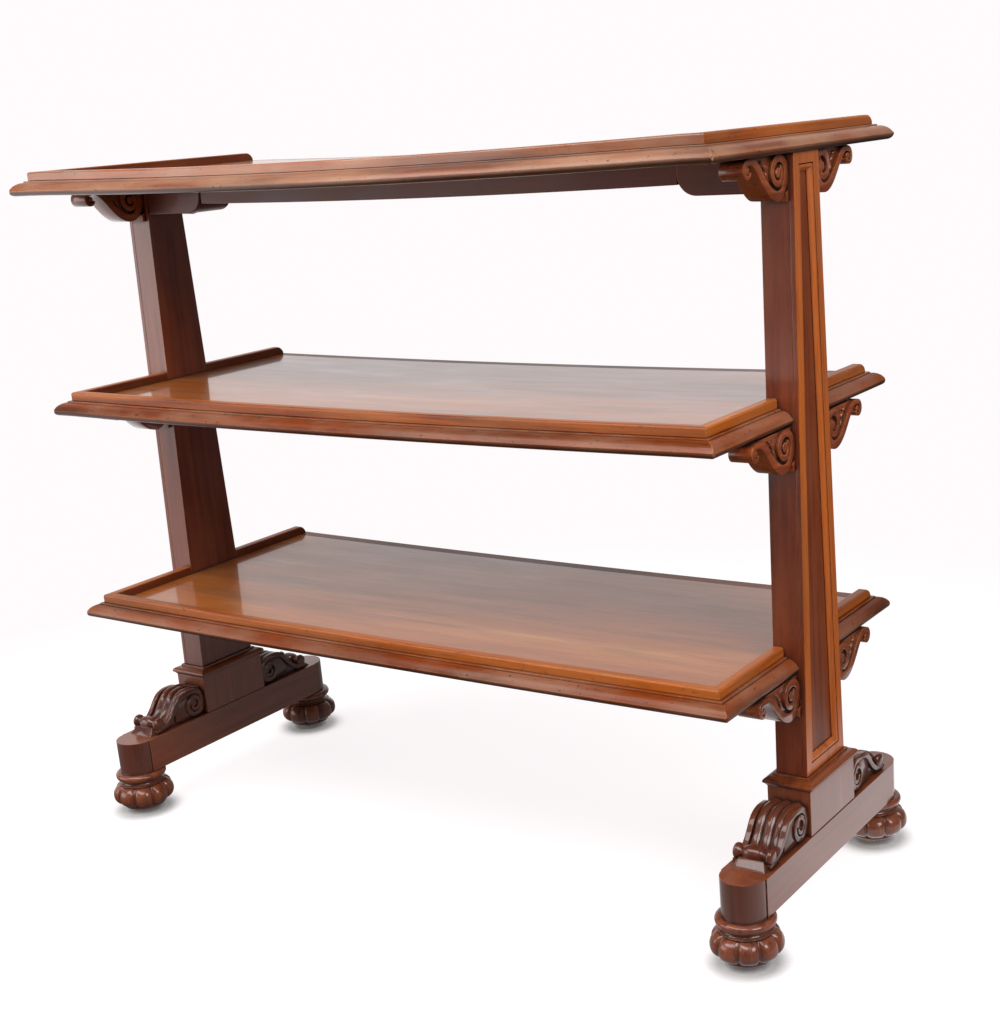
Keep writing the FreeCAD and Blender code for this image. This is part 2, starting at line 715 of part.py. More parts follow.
def make_castor_horns():
    """Bridge over the wheel with two cheeks that hold the axle."""
    half = size["cheek_width"] / 2
    bridge_plan = [
        (post_middle - horn_half, axle_y - half),
        (post_middle + horn_half, axle_y - half),
        (post_middle + horn_half, castor_y),
        (post_middle, castor_y + horn_half, quarter),
        (post_middle - horn_half, castor_y, quarter),
    ]
    bridge = prism("horn_bridge", "XY", bridge_base, size["bridge_thick"], bridge_plan)
    cheek_side = [
        (axle_y - half, bridge_top),
        (axle_y - half, axle_z),
        (axle_y, axle_z - half, quarter),
        (axle_y + half, axle_z, quarter),
        (castor_y, bridge_top),
    ]
    near = post_middle - horn_half
    far = post_middle + horn_half - size["cheek_thick"]
    cheeks = [
        prism("horn_cheek_inner", "YZ", near, size["cheek_thick"], cheek_side),
        prism("horn_cheek_outer", "YZ", far, size["cheek_thick"], cheek_side),
    ]
    pintle_bore = rod(
        "pintle_bore", post_middle, castor_y, bridge_base,
        size["pintle_width"] / 2 + size["pin_gap"], size["bridge_thick"],
    )
    axle_bore = rod(
        "axle_bore", near, axle_y, axle_z,
        size["axle_width"] / 2 + size["screw_gap"], horn_half * 2, "X",
    )
    horn = cut("castor_horn_back_right", fused("horn_solid", bridge, *cheeks), pintle_bore, axle_bore)
    each_corner("castor_horn", horn)
    axle = rod("castor_axle_back_right", near, axle_y, axle_z, size["axle_width"] / 2, horn_half * 2, "X")
    each_corner("castor_axle", axle)


def make_castor_wheels():
    half, rim = size["wheel_width"] / 2, size["wheel_size"] / 2
    bore, edge = size["axle_width"] / 2 + size["pin_gap"], size["wheel_round"]
    outline = [
        (-half, bore),
        (half, bore),
        (half, rim - edge),
        (half - edge, rim, quarter),
        (edge - half, rim),
        (-half, rim - edge, quarter),
    ]
    wheel = turning("castor_wheel_back_right", outline, "H_Axis")
    each_corner("castor_wheel", place(wheel, post_middle, axle_y, axle_z))


def make_bearers():
    """Round-ended bearer blocks beside the uprights and the rail between them, under the top tier."""
    half = size["upright_top"] / 2
    under = size["top_height"]
    low = under - size["bearer_drop"]
    end = post_inner - size["bearer_length"]
    outline = [
        (end + size["bearer_round"], low, quarter),
        (post_inner, low),
        (post_inner, under),
        (end, under),
        (end, low + size["bearer_round"]),
    ]
    bearer = prism("bearer_right", "XZ", -half, half * 2, outline)
    nodes["top_bearers"] = group("top_bearers", bearer, mirrored("bearer_left", bearer, across_length))
    rail_half = half - size["top_rail_inset"]
    nodes["top_rail"] = block(
        "top_rail", -end, -rail_half, under - size["top_rail_drop"],
        end * 2, rail_half * 2, size["top_rail_drop"],
    )


for tier in tiers:
    nodes[f"board_{tier}"] = make_board(tier)
    make_edges(tier)
    make_gallery(tier)
    make_bracket(tier)
make_bearers()
make_uprights()
make_panels()
make_plinths()
make_foot_rails()
make_knees()
holes = plate_screws("screw_holes", size["screw_gap"])
make_bun_feet(holes)
make_castor_plates(holes)
make_castor_horns()
make_castor_wheels()
screws = plate_screws("screws_back_right", zero)
screws_right = group("screws_right", screws, mirrored("screws_front_right", screws, across_depth))
screws_left = mirrored("screws_left", screws_right, across_length)
nodes["castor_screws"] = group("castor_screws", screws_right, screws_left)
doc.recompute()

for item in doc.Objects:
    if {"Invalid", "Error"} & set(item.State):
        raise RuntimeError(f"{item.Name} did not build: {item.State}")
os.makedirs("parts", exist_ok=True)
for name, item in nodes.items():
    if item.Shape.isNull() or not item.Shape.isValid() or not item.Shape.Solids:
        raise RuntimeError(f"{name} has no sound solid")
    item.Label = name
    item.Shape.exportStep(f"parts/{name}.step")
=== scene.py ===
import math
import bpy
from mathutils import Matrix, Vector


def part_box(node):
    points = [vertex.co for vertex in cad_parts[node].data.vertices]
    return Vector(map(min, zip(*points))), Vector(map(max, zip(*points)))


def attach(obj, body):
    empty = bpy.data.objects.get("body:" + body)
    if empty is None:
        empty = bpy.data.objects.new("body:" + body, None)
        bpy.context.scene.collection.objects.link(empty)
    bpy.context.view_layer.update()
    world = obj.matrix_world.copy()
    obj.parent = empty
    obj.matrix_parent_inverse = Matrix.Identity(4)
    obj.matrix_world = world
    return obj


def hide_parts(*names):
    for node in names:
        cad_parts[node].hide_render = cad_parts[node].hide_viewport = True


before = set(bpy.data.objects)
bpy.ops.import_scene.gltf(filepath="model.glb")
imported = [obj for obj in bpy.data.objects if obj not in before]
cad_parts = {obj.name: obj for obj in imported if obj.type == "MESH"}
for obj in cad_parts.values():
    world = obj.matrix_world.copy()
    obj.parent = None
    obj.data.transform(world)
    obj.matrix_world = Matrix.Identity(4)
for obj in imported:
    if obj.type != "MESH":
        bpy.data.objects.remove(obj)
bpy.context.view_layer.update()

mm = 0.001
stand = "stand"  # the body that everything but the castors belongs to
arrisAngle = 32  # degrees: sharper edges than this are softened


# modelling helpers, used as by hand in edit mode

def clearSelection():
    if bpy.context.mode != "OBJECT":
        bpy.ops.object.mode_set(mode="OBJECT")
    bpy.ops.object.select_all(action="DESELECT")


def pick(*pieces):  # makes these the only selected objects, the first one active
    clearSelection()
    for piece in pieces:
        piece.select_set(True)
    bpy.context.view_layer.objects.active = pieces[0]


def drawOutline(name, corners):  # pulls one vertex from corner to corner (mm) and fills the face
    clearSelection()
    bpy.ops.mesh.primitive_plane_add(size=0.01)
    piece = bpy.context.object
    piece.name = piece.data.name = name
    bpy.ops.object.mode_set(mode="EDIT")
    bpy.ops.mesh.select_mode(type="VERT")
    bpy.ops.mesh.merge(type="CENTER")
    corners = [Vector(corner) * mm for corner in corners]
    bpy.ops.transform.translate(value=corners[0])
    for last, corner in zip(corners, corners[1:]):
        bpy.ops.mesh.extrude_vertices_move(TRANSFORM_OT_translate={"value": corner - last})
    bpy.ops.mesh.select_all(action="SELECT")
    bpy.ops.mesh.edge_face_add()
    return piece


def pull(x, y, z, steps=1):  # extrudes what is selected, in mm
    for step in range(steps):
        bpy.ops.mesh.extrude_region_move(
            TRANSFORM_OT_translate={"value": Vector((x, y, z)) * mm / steps})


def cutOff(point, normal):  # cuts off what lies past a plane and closes the cut
    bpy.ops.mesh.select_all(action="SELECT")
    bpy.ops.mesh.bisect(plane_co=Vector(point) * mm, plane_no=normal, use_fill=True, clear_outer=True)


def closeUp(piece, arris=0, segments=2, smooth=35):  # outward normals, softened arrises (mm)
    if bpy.context.mode != "EDIT_MESH":
        pick(piece)
        bpy.ops.object.mode_set(mode="EDIT")
    bpy.ops.mesh.select_all(action="SELECT")
    bpy.ops.mesh.remove_doubles(threshold=0.00001)
    bpy.ops.mesh.normals_make_consistent(inside=False)
    bpy.ops.object.mode_set(mode="OBJECT")
    pick(piece)
    if arris:
        edge = piece.modifiers.new("arris", "BEVEL")
        edge.width, edge.segments = arris * mm, segments
        edge.limit_method, edge.angle_limit = "ANGLE", math.radians(arrisAngle)
        bpy.ops.object.modifier_apply(modifier="arris")
    bpy.ops.object.shade_smooth_by_angle(angle=math.radians(smooth))
    return piece


def moveVertices(piece, shift):  # shift gives each vertex (mm) its new place
    for vertex in piece.data.vertices:
        vertex.co = Vector(shift(vertex.co / mm)) * mm
    piece.data.update()


def mirrorCopy(piece, name, axis):  # a copy with its own mesh, on the other side of the middle
    pick(piece)
    bpy.ops.object.duplicate()
    copy = bpy.context.object
    copy.name = copy.data.name = name
    bpy.ops.object.mode_set(mode="EDIT")
    bpy.ops.mesh.select_all(action="SELECT")
    turn = [-1 if letter == axis else 1 for letter in "xyz"]
    bpy.ops.transform.resize(value=turn, center_override=(0, 0, 0))
    bpy.ops.mesh.flip_normals()
    bpy.ops.object.mode_set(mode="OBJECT")
    return copy


def joinPieces(name, *pieces):
    pick(*pieces)
    bpy.ops.object.join()
    whole = bpy.context.object
    whole.name = whole.data.name = name
    return whole


def handOver(piece, slot, material, *nodes, flat=True):  # the piece takes the place of these CAD nodes
    if flat:  # broad faces keep an even sheen beside their softened arrises
        pick(piece)
        piece.modifiers.new("sheen", "WEIGHTED_NORMAL").keep_sharp = True
        bpy.ops.object.modifier_apply(modifier="sheen")
    piece.data.materials.clear()
    piece.data.materials.append(material)
    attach(piece, stand)
    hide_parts(*nodes)


def handOverPair(right, slot, material, node, flat=True):  # a right-hand piece and its mirror image
    left = mirrorCopy(right, right.name.replace("Right", "Left"), "x")
    handOver(right, slot, material, node + "_right", flat=flat)
    handOver(left, slot, material, node + "_left", flat=flat)
    return right, left


def arc(middle, radius, start, end, steps):  # points on a circle, in degrees, end included
    turns = [math.radians(start + (end - start) * step / steps) for step in range(steps + 1)]
    return [(middle[0] + radius * math.cos(turn), middle[1] + radius * math.sin(turn)) for turn in turns]


def spiral(middle, radii, turns, widths, steps):  # points (a, b, half width) winding about a middle
    points = []
    for step in range(steps + 1):
        share = step / steps
        radius = radii[0] + (radii[1] - radii[0]) * share
        turn = math.radians(turns[0] + (turns[1] - turns[0]) * share)
        points.append((middle[0] + radius * math.cos(turn), middle[1] + radius * math.sin(turn),
                       widths[0] + (widths[1] - widths[0]) * share))
    return points


def smoothPath(points, steps=6):  # a curve through the points
    path = []
    for index in range(len(points) - 1):
        around = [points[max(0, min(len(points) - 1, index + offset))] for offset in (-1, 0, 1, 2)]
        before, start, end, after = [Vector(point) for point in around]
        for step in range(steps):
            t = step / steps
            path.append(0.5 * (2 * start + (end - before) * t
                               + (2 * before - 5 * start + 4 * end - after) * t ** 2
                               + (3 * start - before - 3 * end + after) * t ** 3))
    return path + [Vector(points[-1])]


def bandOutline(points, steps=6):  # outline of a band along points (a, b, half width)
    path = smoothPath(points, steps)
    near, far = [], []
    for index, point in enumerate(path):
        ahead = path[min(index + 1, len(path) - 1)] - path[max(index - 1, 0)]
        side = Vector((-ahead.y, ahead.x)).normalized() * point.z
        near.append((point.x + side.x, point.y + side.y))
        far.append((point.x - side.x, point.y - side.y))
    return near + far[::-1]


# materials

def toLinear(hexColour):
    parts = [int(hexColour[index:index + 2], 16) / 255 for index in (1, 3, 5)]
    return [part / 12.92 if part <= 0.04045 else ((part + 0.055) / 1.055) ** 2.4 for part in parts] + [1]


def addNode(tree, kind, settings=None, values=None, links=None):
    node = tree.nodes.new(kind)
    for key, value in (settings or {}).items():
        setattr(node, key, value)
    for key, value in (values or {}).items():
        node.inputs[key].default_value = value
    for key, (source, output) in (links or {}).items():
        tree.links.new(source.outputs[output], node.inputs[key])
    return node


def fillRamp(node, *stops):
    ramp = node.color_ramp
    while len(ramp.elements) < len(stops):
        ramp.elements.new(0.5)
    for element, (place, colour) in zip(ramp.elements, stops):
        element.position = place
        element.color = toLinear(colour)
    return node


def squeeze(tree, source, low, high, toLow=0.0, toHigh=1.0):  # maps a range of values to another
    values = {"From Min": low, "From Max": high, "To Min": toLow, "To Max": toHigh}
    return addNode(tree, "ShaderNodeMapRange", values=values, links={"Value": source})


def combine(tree, operation, first, second):
    return addNode(tree, "ShaderNodeMath", {"operation": operation}, links={0: first, 1: second})


def newMaterial(name):
    material = bpy.data.materials.new(name)
    material.use_nodes = True
    material.node_tree.nodes.clear()
    return material, material.node_tree


# marks over the figure: size along and across the grain in mm, noise, where each starts and is full
grainMarks = {
    "streak": {"long": 420, "wide": 9, "detail": 2, "rough": 0.5, "twist": 0.0, "from": 0.50, "full": 0.70,
               "tint": "deep"},
    "pore": {"long": 60, "wide": 2.4, "detail": 1, "rough": 0.5, "twist": 0.0, "from": 0.56, "full": 0.72,
             "tint": "poreTint"},  # real pores are 0.2 mm wide, drawn coarser so that they show
    "fade": {"long": 130, "wide": 48, "detail": 3, "rough": 0.55, "twist": 0.0, "from": 0.38, "full": 0.64,
             "tint": "faded"},
    "smoke": {"long": 520, "wide": 62, "detail": 3, "rough": 0.55, "twist": 0.2, "from": 0.50, "full": 0.70,
              "tint": "smokeTint"},  # broad dark clouds in the polish
    "dents": {"long": 8, "wide": 5, "detail": 2, "rough": 0.5, "twist": 0.0, "from": 0.66, "full": 0.72,
              "tint": "poreTint"},
}


# French-polished mahogany: the eye sees red-brown wood with long darker streaks and short open pores
# under a thin glossy film; the film is rubbed to orange on the arrises, where a painted highlight is added,
# and holds dark wax in the quirks, deepened by painted shade in all hollows and on faces that point down
def mahogany(name, grain, look):
    material, tree = newMaterial(name)
    place = addNode(tree, "ShaderNodeTexCoord")

    def along(lengthMm, widthMm):  # coordinates in which one unit is so long with the grain, so wide across
        scale = [1000 / (lengthMm if letter == grain else widthMm) for letter in "xyz"]
        return addNode(tree, "ShaderNodeMapping", values={"Scale": scale},
                       links={"Vector": (place, "Object")})

    def cloud(lengthMm, widthMm, detail, rough, twist=0.0):
        return addNode(
            tree, "ShaderNodeTexNoise",
            values={"Scale": 1.0, "Detail": detail, "Roughness": rough, "Distortion": twist},
            links={"Vector": (along(lengthMm, widthMm), "Vector")})

    def cover(colour, mask, tint):  # lays a tint over the colour where the mask is high
        return addNode(tree, "ShaderNodeMix", {"data_type": "RGBA"}, {7: toLinear(look[tint])},
                       {0: mask, 6: colour}), 2

    def masked(source, start, full, share):  # share names how much of the mark this wood has
        return squeeze(tree, source, start, full, 0.0, look[share]), "Result"

    broad = cloud(look["figureLong"], look["figureWide"], 2, 0.5, 0.2)
    fine = cloud(look["figureLong"] / 3, look["figureWide"] / 4, 2, 0.5)
    figure = addNode(tree, "ShaderNodeMix", {"data_type": "FLOAT"}, {0: 0.4},
                     {2: (broad, "Fac"), 3: (fine, "Fac")})
    ramp = fillRamp(
        addNode(tree, "ShaderNodeValToRGB", links={"Fac": (figure, 0)}),
        (0.34, look["deep"]), (0.46, look["mid"]), (0.56, look["mid"]), (0.68, look["warm"]))
    colour = ramp, "Color"
    clouds = {}
    for kind, mark in grainMarks.items():
        clouds[kind] = cloud(mark["long"], mark["wide"], mark["detail"], mark["rough"], mark["twist"])
        mask = masked((clouds[kind], "Fac"), mark["from"], mark["full"], kind)
        colour = cover(colour, mask, mark["tint"])

    normal = addNode(tree, "ShaderNodeNewGeometry")
    # worn polish lightens the convex arrises, and the same mask paints a highlight along them
    rounded = addNode(tree, "ShaderNodeBevel", {"samples": 4}, {"Radius": look["edgeWearAndHighlightWide"] * mm})
    facing = addNode(tree, "ShaderNodeVectorMath", {"operation": "DOT_PRODUCT"},
                     links={0: (rounded, "Normal"), 1: (normal, "Normal")})
    edge = squeeze(tree, (facing, "Value"), 0.995, 0.90)
    rubbed = cloud(30, 30, 2, 0.6)
    edgeWearAndHighlight = combine(tree, "MULTIPLY", (edge, "Result"), masked((rubbed, "Fac"), 0.38, 0.62, "edgeWearAndHighlight"))
    colour = cover(colour, (edgeWearAndHighlight, "Value"), "worn")
    # painted shade: ambient occlusion darkens hollows and quirks, on top of the real dark wax there
    hollow = addNode(tree, "ShaderNodeAmbientOcclusion", {"samples": 6},
                     {"Distance": look["waxAndShadeWide"] * mm})
    waxAndShade = squeeze(tree, (hollow, "AO"), 0.40, 0.85, look["waxAndShade"], 0.0)
    colour = cover(colour, (waxAndShade, "Result"), "waxAndShadeTint")
    # painted shade: faces that point down are darkened, more the further they face down
    lean = addNode(tree, "ShaderNodeSeparateXYZ", links={"Vector": (normal, "Normal")})
    colour = cover(colour, masked((lean, "Z"), 0.15, -0.6, "under"), "undersideShadeTint")  # painted shade on downward faces

    rough = squeeze(tree, (clouds["fade"], "Fac"), 0.3, 0.7, look["gloss"], look["gloss"] + 0.12)
    roughWorn = addNode(tree, "ShaderNodeMath", {"operation": "MULTIPLY_ADD"}, {1: 0.25},
                        {0: (waxAndShade, "Result"), 2: (rough, "Result")})
    ripple = cloud(90, 60, 2, 0.5)  # slow waves of an old hand-rubbed film
    bump = addNode(tree, "ShaderNodeBump", values={"Strength": look["ripple"], "Distance": 0.0012},
                   links={"Height": (ripple, "Fac")})
    shader = addNode(
        tree, "ShaderNodeBsdfPrincipled",
        values={"IOR": 1.5, "Specular IOR Level": look["glint"], "Coat Weight": look["coat"],
                "Coat Roughness": look["coatRough"]},
        links={"Base Color": colour, "Roughness": (roughWorn, "Value"), "Normal": (bump, "Normal")})
    addNode(tree, "ShaderNodeOutputMaterial", links={"Surface": (shader, "BSDF")})
    return material


polish = {
    "deep": "#47190a", "mid": "#7c3414", "warm": "#984a1c", "faded": "#94502c", "worn": "#b96a34",
    "poreTint": "#34130a", "smokeTint": "#3b2116", "waxAndShadeTint": "#1c0d08", "undersideShadeTint": "#2c150d",
    "figureLong": 900, "figureWide": 55, "streak": 0.5, "pore": 0.3, "fade": 0.35, "smoke": 0.35,
    "dents": 0.25, "edgeWearAndHighlight": 0.6, "edgeWearAndHighlightWide": 2.0, "waxAndShade": 0.85, "waxAndShadeWide": 8, "under": 0.3,
    "gloss": 0.29, "glint": 0.5, "ripple": 0.12, "coat": 0.5, "coatRough": 0.10,
}
shelfLook = {**polish, "deep": "#70380f", "mid": "#ae5f22", "warm": "#c67e38", "faded": "#b07444",
             "figureWide": 110, "smokeTint": "#3a291c", "smoke": 0.5, "streak": 0.22, "fade": 0.5,
             "edgeWearAndHighlight": 0.3, "coat": 0.75, "coatRough": 0.07}
galleryLook = {**polish, "deep": "#6e2c0e", "mid": "#b05a1a", "warm": "#c67a2c", "faded": "#a66c3e",
               "dents": 0.4, "coat": 0.1, "glint": 0.3, "gloss": 0.34, "waxAndShade": 0.6, "waxAndShadeWide": 2}
# the top's front gallery: faded wood whose paler pink tint is partly painted sheen
topGalleryLook = {**galleryLook, "mid": "#a2531f", "warm": "#b86e36", "faded": "#b0866a", "fade": 0.6,
                  "glint": 0.5, "coat": 0.6}
# painted shade: a darker copy of the gallery wood for the galleries' inner faces
insideShadeLook = {**galleryLook, "deep": "#42190a", "mid": "#6e3012", "warm": "#84421a", "faded": "#744226"}
edgeLook = {**polish, "deep": "#522609", "mid": "#82390f", "warm": "#a2501c", "faded": "#92624a",
            "fade": 0.8, "dents": 0.7, "smoke": 0.7, "edgeWearAndHighlight": 0.8, "worn": "#b87a4c", "under": 0.85,
            "coat": 0.2, "coatRough": 0.11, "glint": 0.2, "gloss": 0.38, "waxAndShade": 0.6, "waxAndShadeWide": 2}
topEdgeLook = {**edgeLook, "mid": "#935230", "warm": "#ae683c", "faded": "#a47658",
               "glint": 0.5, "coat": 0.3, "gloss": 0.32}
stileLook = {**polish, "deep": "#7a330f", "mid": "#c4621e", "warm": "#d87e2c", "faded": "#b8682c",
             "waxAndShadeWide": 7}
panelLook = {**polish, "deep": "#5a220c", "mid": "#823915", "warm": "#9a4c1c", "coat": 0.15, "gloss": 0.36}
uprightLook = {**polish, "mid": "#743018", "warm": "#8c421c"}
capLook = {**polish, "mid": "#84401c", "warm": "#9c5424", "edgeWearAndHighlight": 0.9, "worn": "#b8662c"}
footLook = {**polish, "deep": "#683018", "mid": "#803d1f", "warm": "#92502b", "faded": "#92583f",
            "worn": "#b0622e", "smoke": 0.15, "dents": 0.15, "streak": 0.2, "edgeWearAndHighlight": 0.9, "coat": 0.9}
endLook = {**footLook, "deep": "#3a1a12", "mid": "#5e3022", "warm": "#6c3a2a", "faded": "#6e4a40"}
carvedLook = {**polish, "mid": "#522012", "warm": "#6e3219", "figureWide": 25, "figureLong": 120,
              "waxAndShade": 0.97, "waxAndShadeWide": 9, "gloss": 0.36, "glint": 0.35, "coat": 0.9, "coatRough": 0.08}
bunLook = {**carvedLook, "mid": "#7d3e25", "warm": "#965230"}
bracketLook = {**carvedLook, "deep": "#602410", "mid": "#9a441a", "warm": "#b25826", "worn": "#c0763a",
               "edgeWearAndHighlight": 0.9, "edgeWearAndHighlightWide": 2.5, "under": 0.5}
bearerLook = {**polish, "deep": "#3a160e", "mid": "#64281a", "warm": "#743222", "coat": 0.1,
              "gloss": 0.45, "edgeWearAndHighlight": 0.9}

woods = {}
for kind, grains, look in (
        ("Shelf", "x", shelfLook), ("Gallery", "xy", galleryLook), ("GalleryInside", "y", insideShadeLook),
        ("TopGallery", "x", topGalleryLook), ("Edge", "xy", edgeLook), ("TopEdge", "xy", topEdgeLook),
        ("Stile", "z", stileLook), ("Panel", "z", panelLook), ("Upright", "z", uprightLook),
        ("Cap", "y", capLook), ("Foot", "yz", footLook), ("EndGrain", "z", endLook),
        ("Carved", "y", carvedLook), ("Bun", "z", bunLook), ("Bracket", "y", bracketLook),
        ("Bearer", "x", bearerLook)):
    for grain in grains:
        woods[kind + grain.upper()] = mahogany(f"frenchPolishedMahogany{kind}{grain.upper()}", grain, look)
print("materials ready")


# castor metals: the eye sees cast iron gone brown, dull yellow brass and grey steel, mottled by use
castorMetal = {
    "castIron": {"dark": "#2b2826", "pale": "#463d37", "metallic": 0.55, "rough": 0.62, "gritMm": 1.5},
    "wornBrass": {"dark": "#8a6a2e", "pale": "#c09a4d", "metallic": 1.0, "rough": 0.34, "gritMm": 3.0},
    "dullSteel": {"dark": "#6d6a66", "pale": "#97928b", "metallic": 1.0, "rough": 0.42, "gritMm": 1.2},
}


def metal(name, look):
    material, tree = newMaterial(name)
    place = addNode(tree, "ShaderNodeTexCoord")

    def speckle(sizeMm, detail):
        return addNode(tree, "ShaderNodeTexNoise", values={"Scale": 1000 / sizeMm, "Detail": detail},
                       links={"Vector": (place, "Object")})

    mottle = speckle(look["gritMm"] * 6, 6)
    colour = fillRamp(addNode(tree, "ShaderNodeValToRGB", links={"Fac": (mottle, "Fac")}),
                      (0.35, look["dark"]), (0.65, look["pale"]))
    gloss = squeeze(tree, (mottle, "Fac"), 0.0, 1.0, look["rough"] - 0.12, look["rough"] + 0.15)
    bump = addNode(tree, "ShaderNodeBump", values={"Strength": 0.25, "Distance": 0.0003},
                   links={"Height": (speckle(look["gritMm"], 3), "Fac")})
    shader = addNode(tree, "ShaderNodeBsdfPrincipled", values={"Metallic": look["metallic"]},
                     links={"Base Color": (colour, "Color"), "Roughness": (gloss, "Result"),
                            "Normal": (bump, "Normal")})
    addNode(tree, "ShaderNodeOutputMaterial", links={"Surface": (shader, "BSDF")})
    return material


metals = {name: metal(name, look) for name, look in castorMetal.items()}
for name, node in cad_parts.items():
    for start, kind in (("castor_wheel", "wornBrass"), ("castor_plate", "castIron"),
                        ("castor_horn", "castIron"), ("castor_axle", "dullSteel"),
                        ("castor_screws", "dullSteel")):
        if name.startswith(start):
            node.data.materials.clear()
            node.data.materials.append(metals[kind])
print("castors dressed")


# uprights: faces in mm, shared with the pieces that butt against them
upright = {"inner": 552.0, "core": 39.5, "recess": 7.0, "topHalf": 35.0, "footHalf": 58.0,
           "foot": 206.5, "top": 1019.0, "stile": 15.0, "quirk": 0.9, "bead": 8.4, "beadRise": 6.0,
           "beadHollow": 4.8}
upright["middle"] = upright["inner"] + (upright["core"] + upright["recess"]) / 2
upright["slope"] = (upright["footHalf"] - upright["topHalf"]) / (upright["top"] - upright["foot"])


def postFace(level):  # half the depth of an upright at a height
    return upright["topHalf"] + upright["slope"] * (upright["top"] - level)


def postOutline(name, x):
    return drawOutline(name, [
        (x, -upright["footHalf"], upright["foot"]), (x, upright["footHalf"], upright["foot"]),
        (x, upright["topHalf"], upright["top"]), (x, -upright["topHalf"], upright["top"])])


def keepRing(width):  # leaves a mitred ring of that width inside the drawn face
    bpy.ops.mesh.inset(thickness=width * mm)
    bpy.ops.mesh.delete(type="FACE")
    bpy.ops.mesh.select_all(action="SELECT")


def addWood(piece, wood, chosen):  # a second wood on the faces that chosen picks by centre (mm) and normal
    piece.data.materials.append(woods[wood])
    for polygon in piece.data.polygons:
        if chosen(polygon.center / mm, polygon.normal):
            polygon.material_index = 1


def makeUpright():
    core = postOutline("uprightRight", upright["inner"])
    pull(upright["core"], 0, 0)
    closeUp(core, 1.0)
    face = upright["inner"] + upright["core"]
    ring = postOutline("panelFrameRight", face)
    keepRing(upright["stile"])
    pull(upright["recess"], 0, 0)
    closeUp(ring, 0.9)
    bead = postOutline("panelMouldingRight", face)
    bpy.ops.mesh.inset(thickness=(upright["stile"] + upright["quirk"]) * mm)
    bpy.ops.mesh.select_all(action="INVERT")
    bpy.ops.mesh.delete(type="VERT")
    bpy.ops.mesh.select_all(action="SELECT")
    keepRing(upright["bead"])
    pull(upright["beadRise"], 0, 0)
    bpy.ops.mesh.select_all(action="DESELECT")
    bpy.ops.mesh.select_mode(type="EDGE")
    bpy.ops.object.mode_set(mode="OBJECT")
    high = (face + upright["beadRise"]) * mm
    inset = upright["stile"] + upright["quirk"] + upright["bead"] * 0.6  # between the ring's two edges
    inside = []
    for vertex in bead.data.vertices:
        y, z = abs(vertex.co.y) / mm, vertex.co.z / mm
        atTop = abs(vertex.co.x - high) < 1e-5
        inside.append(atTop and y < postFace(z) - inset
                      and upright["foot"] + inset < z < upright["top"] - inset)
    for edge in bead.data.edges:
        edge.select = all(inside[index] for index in edge.vertices)
    bpy.ops.object.mode_set(mode="EDIT")
    bpy.ops.mesh.bevel(offset=upright["beadHollow"] * mm, segments=6, profile=0.28, affect="EDGES")
    closeUp(bead, 0.5)
    for piece, node, wood in ((core, "upright", "UprightZ"), (ring, "panel_frame", "StileZ"),
                              (bead, "panel_moulding", "StileZ")):
        for post in handOverPair(piece, "upright_mahogany", woods[wood], node):
            if node == "upright":  # the sunk panel is veneered in a warmer cut
                addWood(post, "PanelZ", lambda centre, normal: abs(centre.x) > face - 0.1)
            elif node == "panel_frame":  # its outer flanks are toned in with the upright
                addWood(post, "UprightZ", lambda centre, normal: abs(normal.y) > 0.6
                        and abs(centre.y) > postFace(centre.z) - 1.5)


makeUpright()
print("uprights built")


# tiers: board, mitred edge strips with their thumb moulding, and the low gallery
tierLook = {"strip": 38.0, "thick": 21.0, "nose": 8.0, "thumbMiddle": (17.4, 2.6),
            "thumbHalf": (17.6, 16.6), "setback": 22.0, "galleryRise": 13.0, "galleryRound": 3.2,
            "endRound": 12.0, "lengths": 32, "endLengths": 12, "galleryLengths": 8, "blunt": 3.0,
            "sag": {"bottom": 3.0, "middle": 4.0, "top": 7.0}}


def thumbPoint(turn):  # the convex slope is part of an ellipse
    (middleU, middleV), (halfU, halfV) = tierLook["thumbMiddle"], tierLook["thumbHalf"]
    return middleU - halfU * math.cos(turn), middleV + halfV * math.sin(turn)


def makeProfiles():  # in from the outer edge, up from the underside
    strip, thick, nose = tierLook["strip"], tierLook["thick"], tierLook["nose"]
    quirk = [(15.2, 18.9), (15.6, 17.5), (16.8, 17.4), (17.0, 20.6), (17.4, thick)]
    edge = ([(strip, 0)] + arc((nose, nose), nose, -90, -180, 7)
            + [thumbPoint(turn) for turn in (0.48, 0.66, 0.85, 1.04, 1.22, 1.38)]
            + quirk + [(strip, thick)])
    setback, radius = tierLook["setback"], tierLook["galleryRound"]
    crown = thick + tierLook["galleryRise"] - radius
    gallery = ([(strip, thick), (setback + 0.5, thick), (setback, thick + 0.6)]
               + arc((setback + radius, crown), radius, 180, 90, 4)
               + arc((strip - radius, crown), radius, 90, 0, 4))
    return edge, gallery


edgeProfile, galleryProfile = makeProfiles()


def sagged(piece, depth):  # the boards have sunk a little between the uprights
    def shift(place):
        drop = depth * max(0, 1 - (place.x / upright["inner"]) ** 2)
        return place.x, place.y, place.z - drop
    moveVertices(piece, shift)


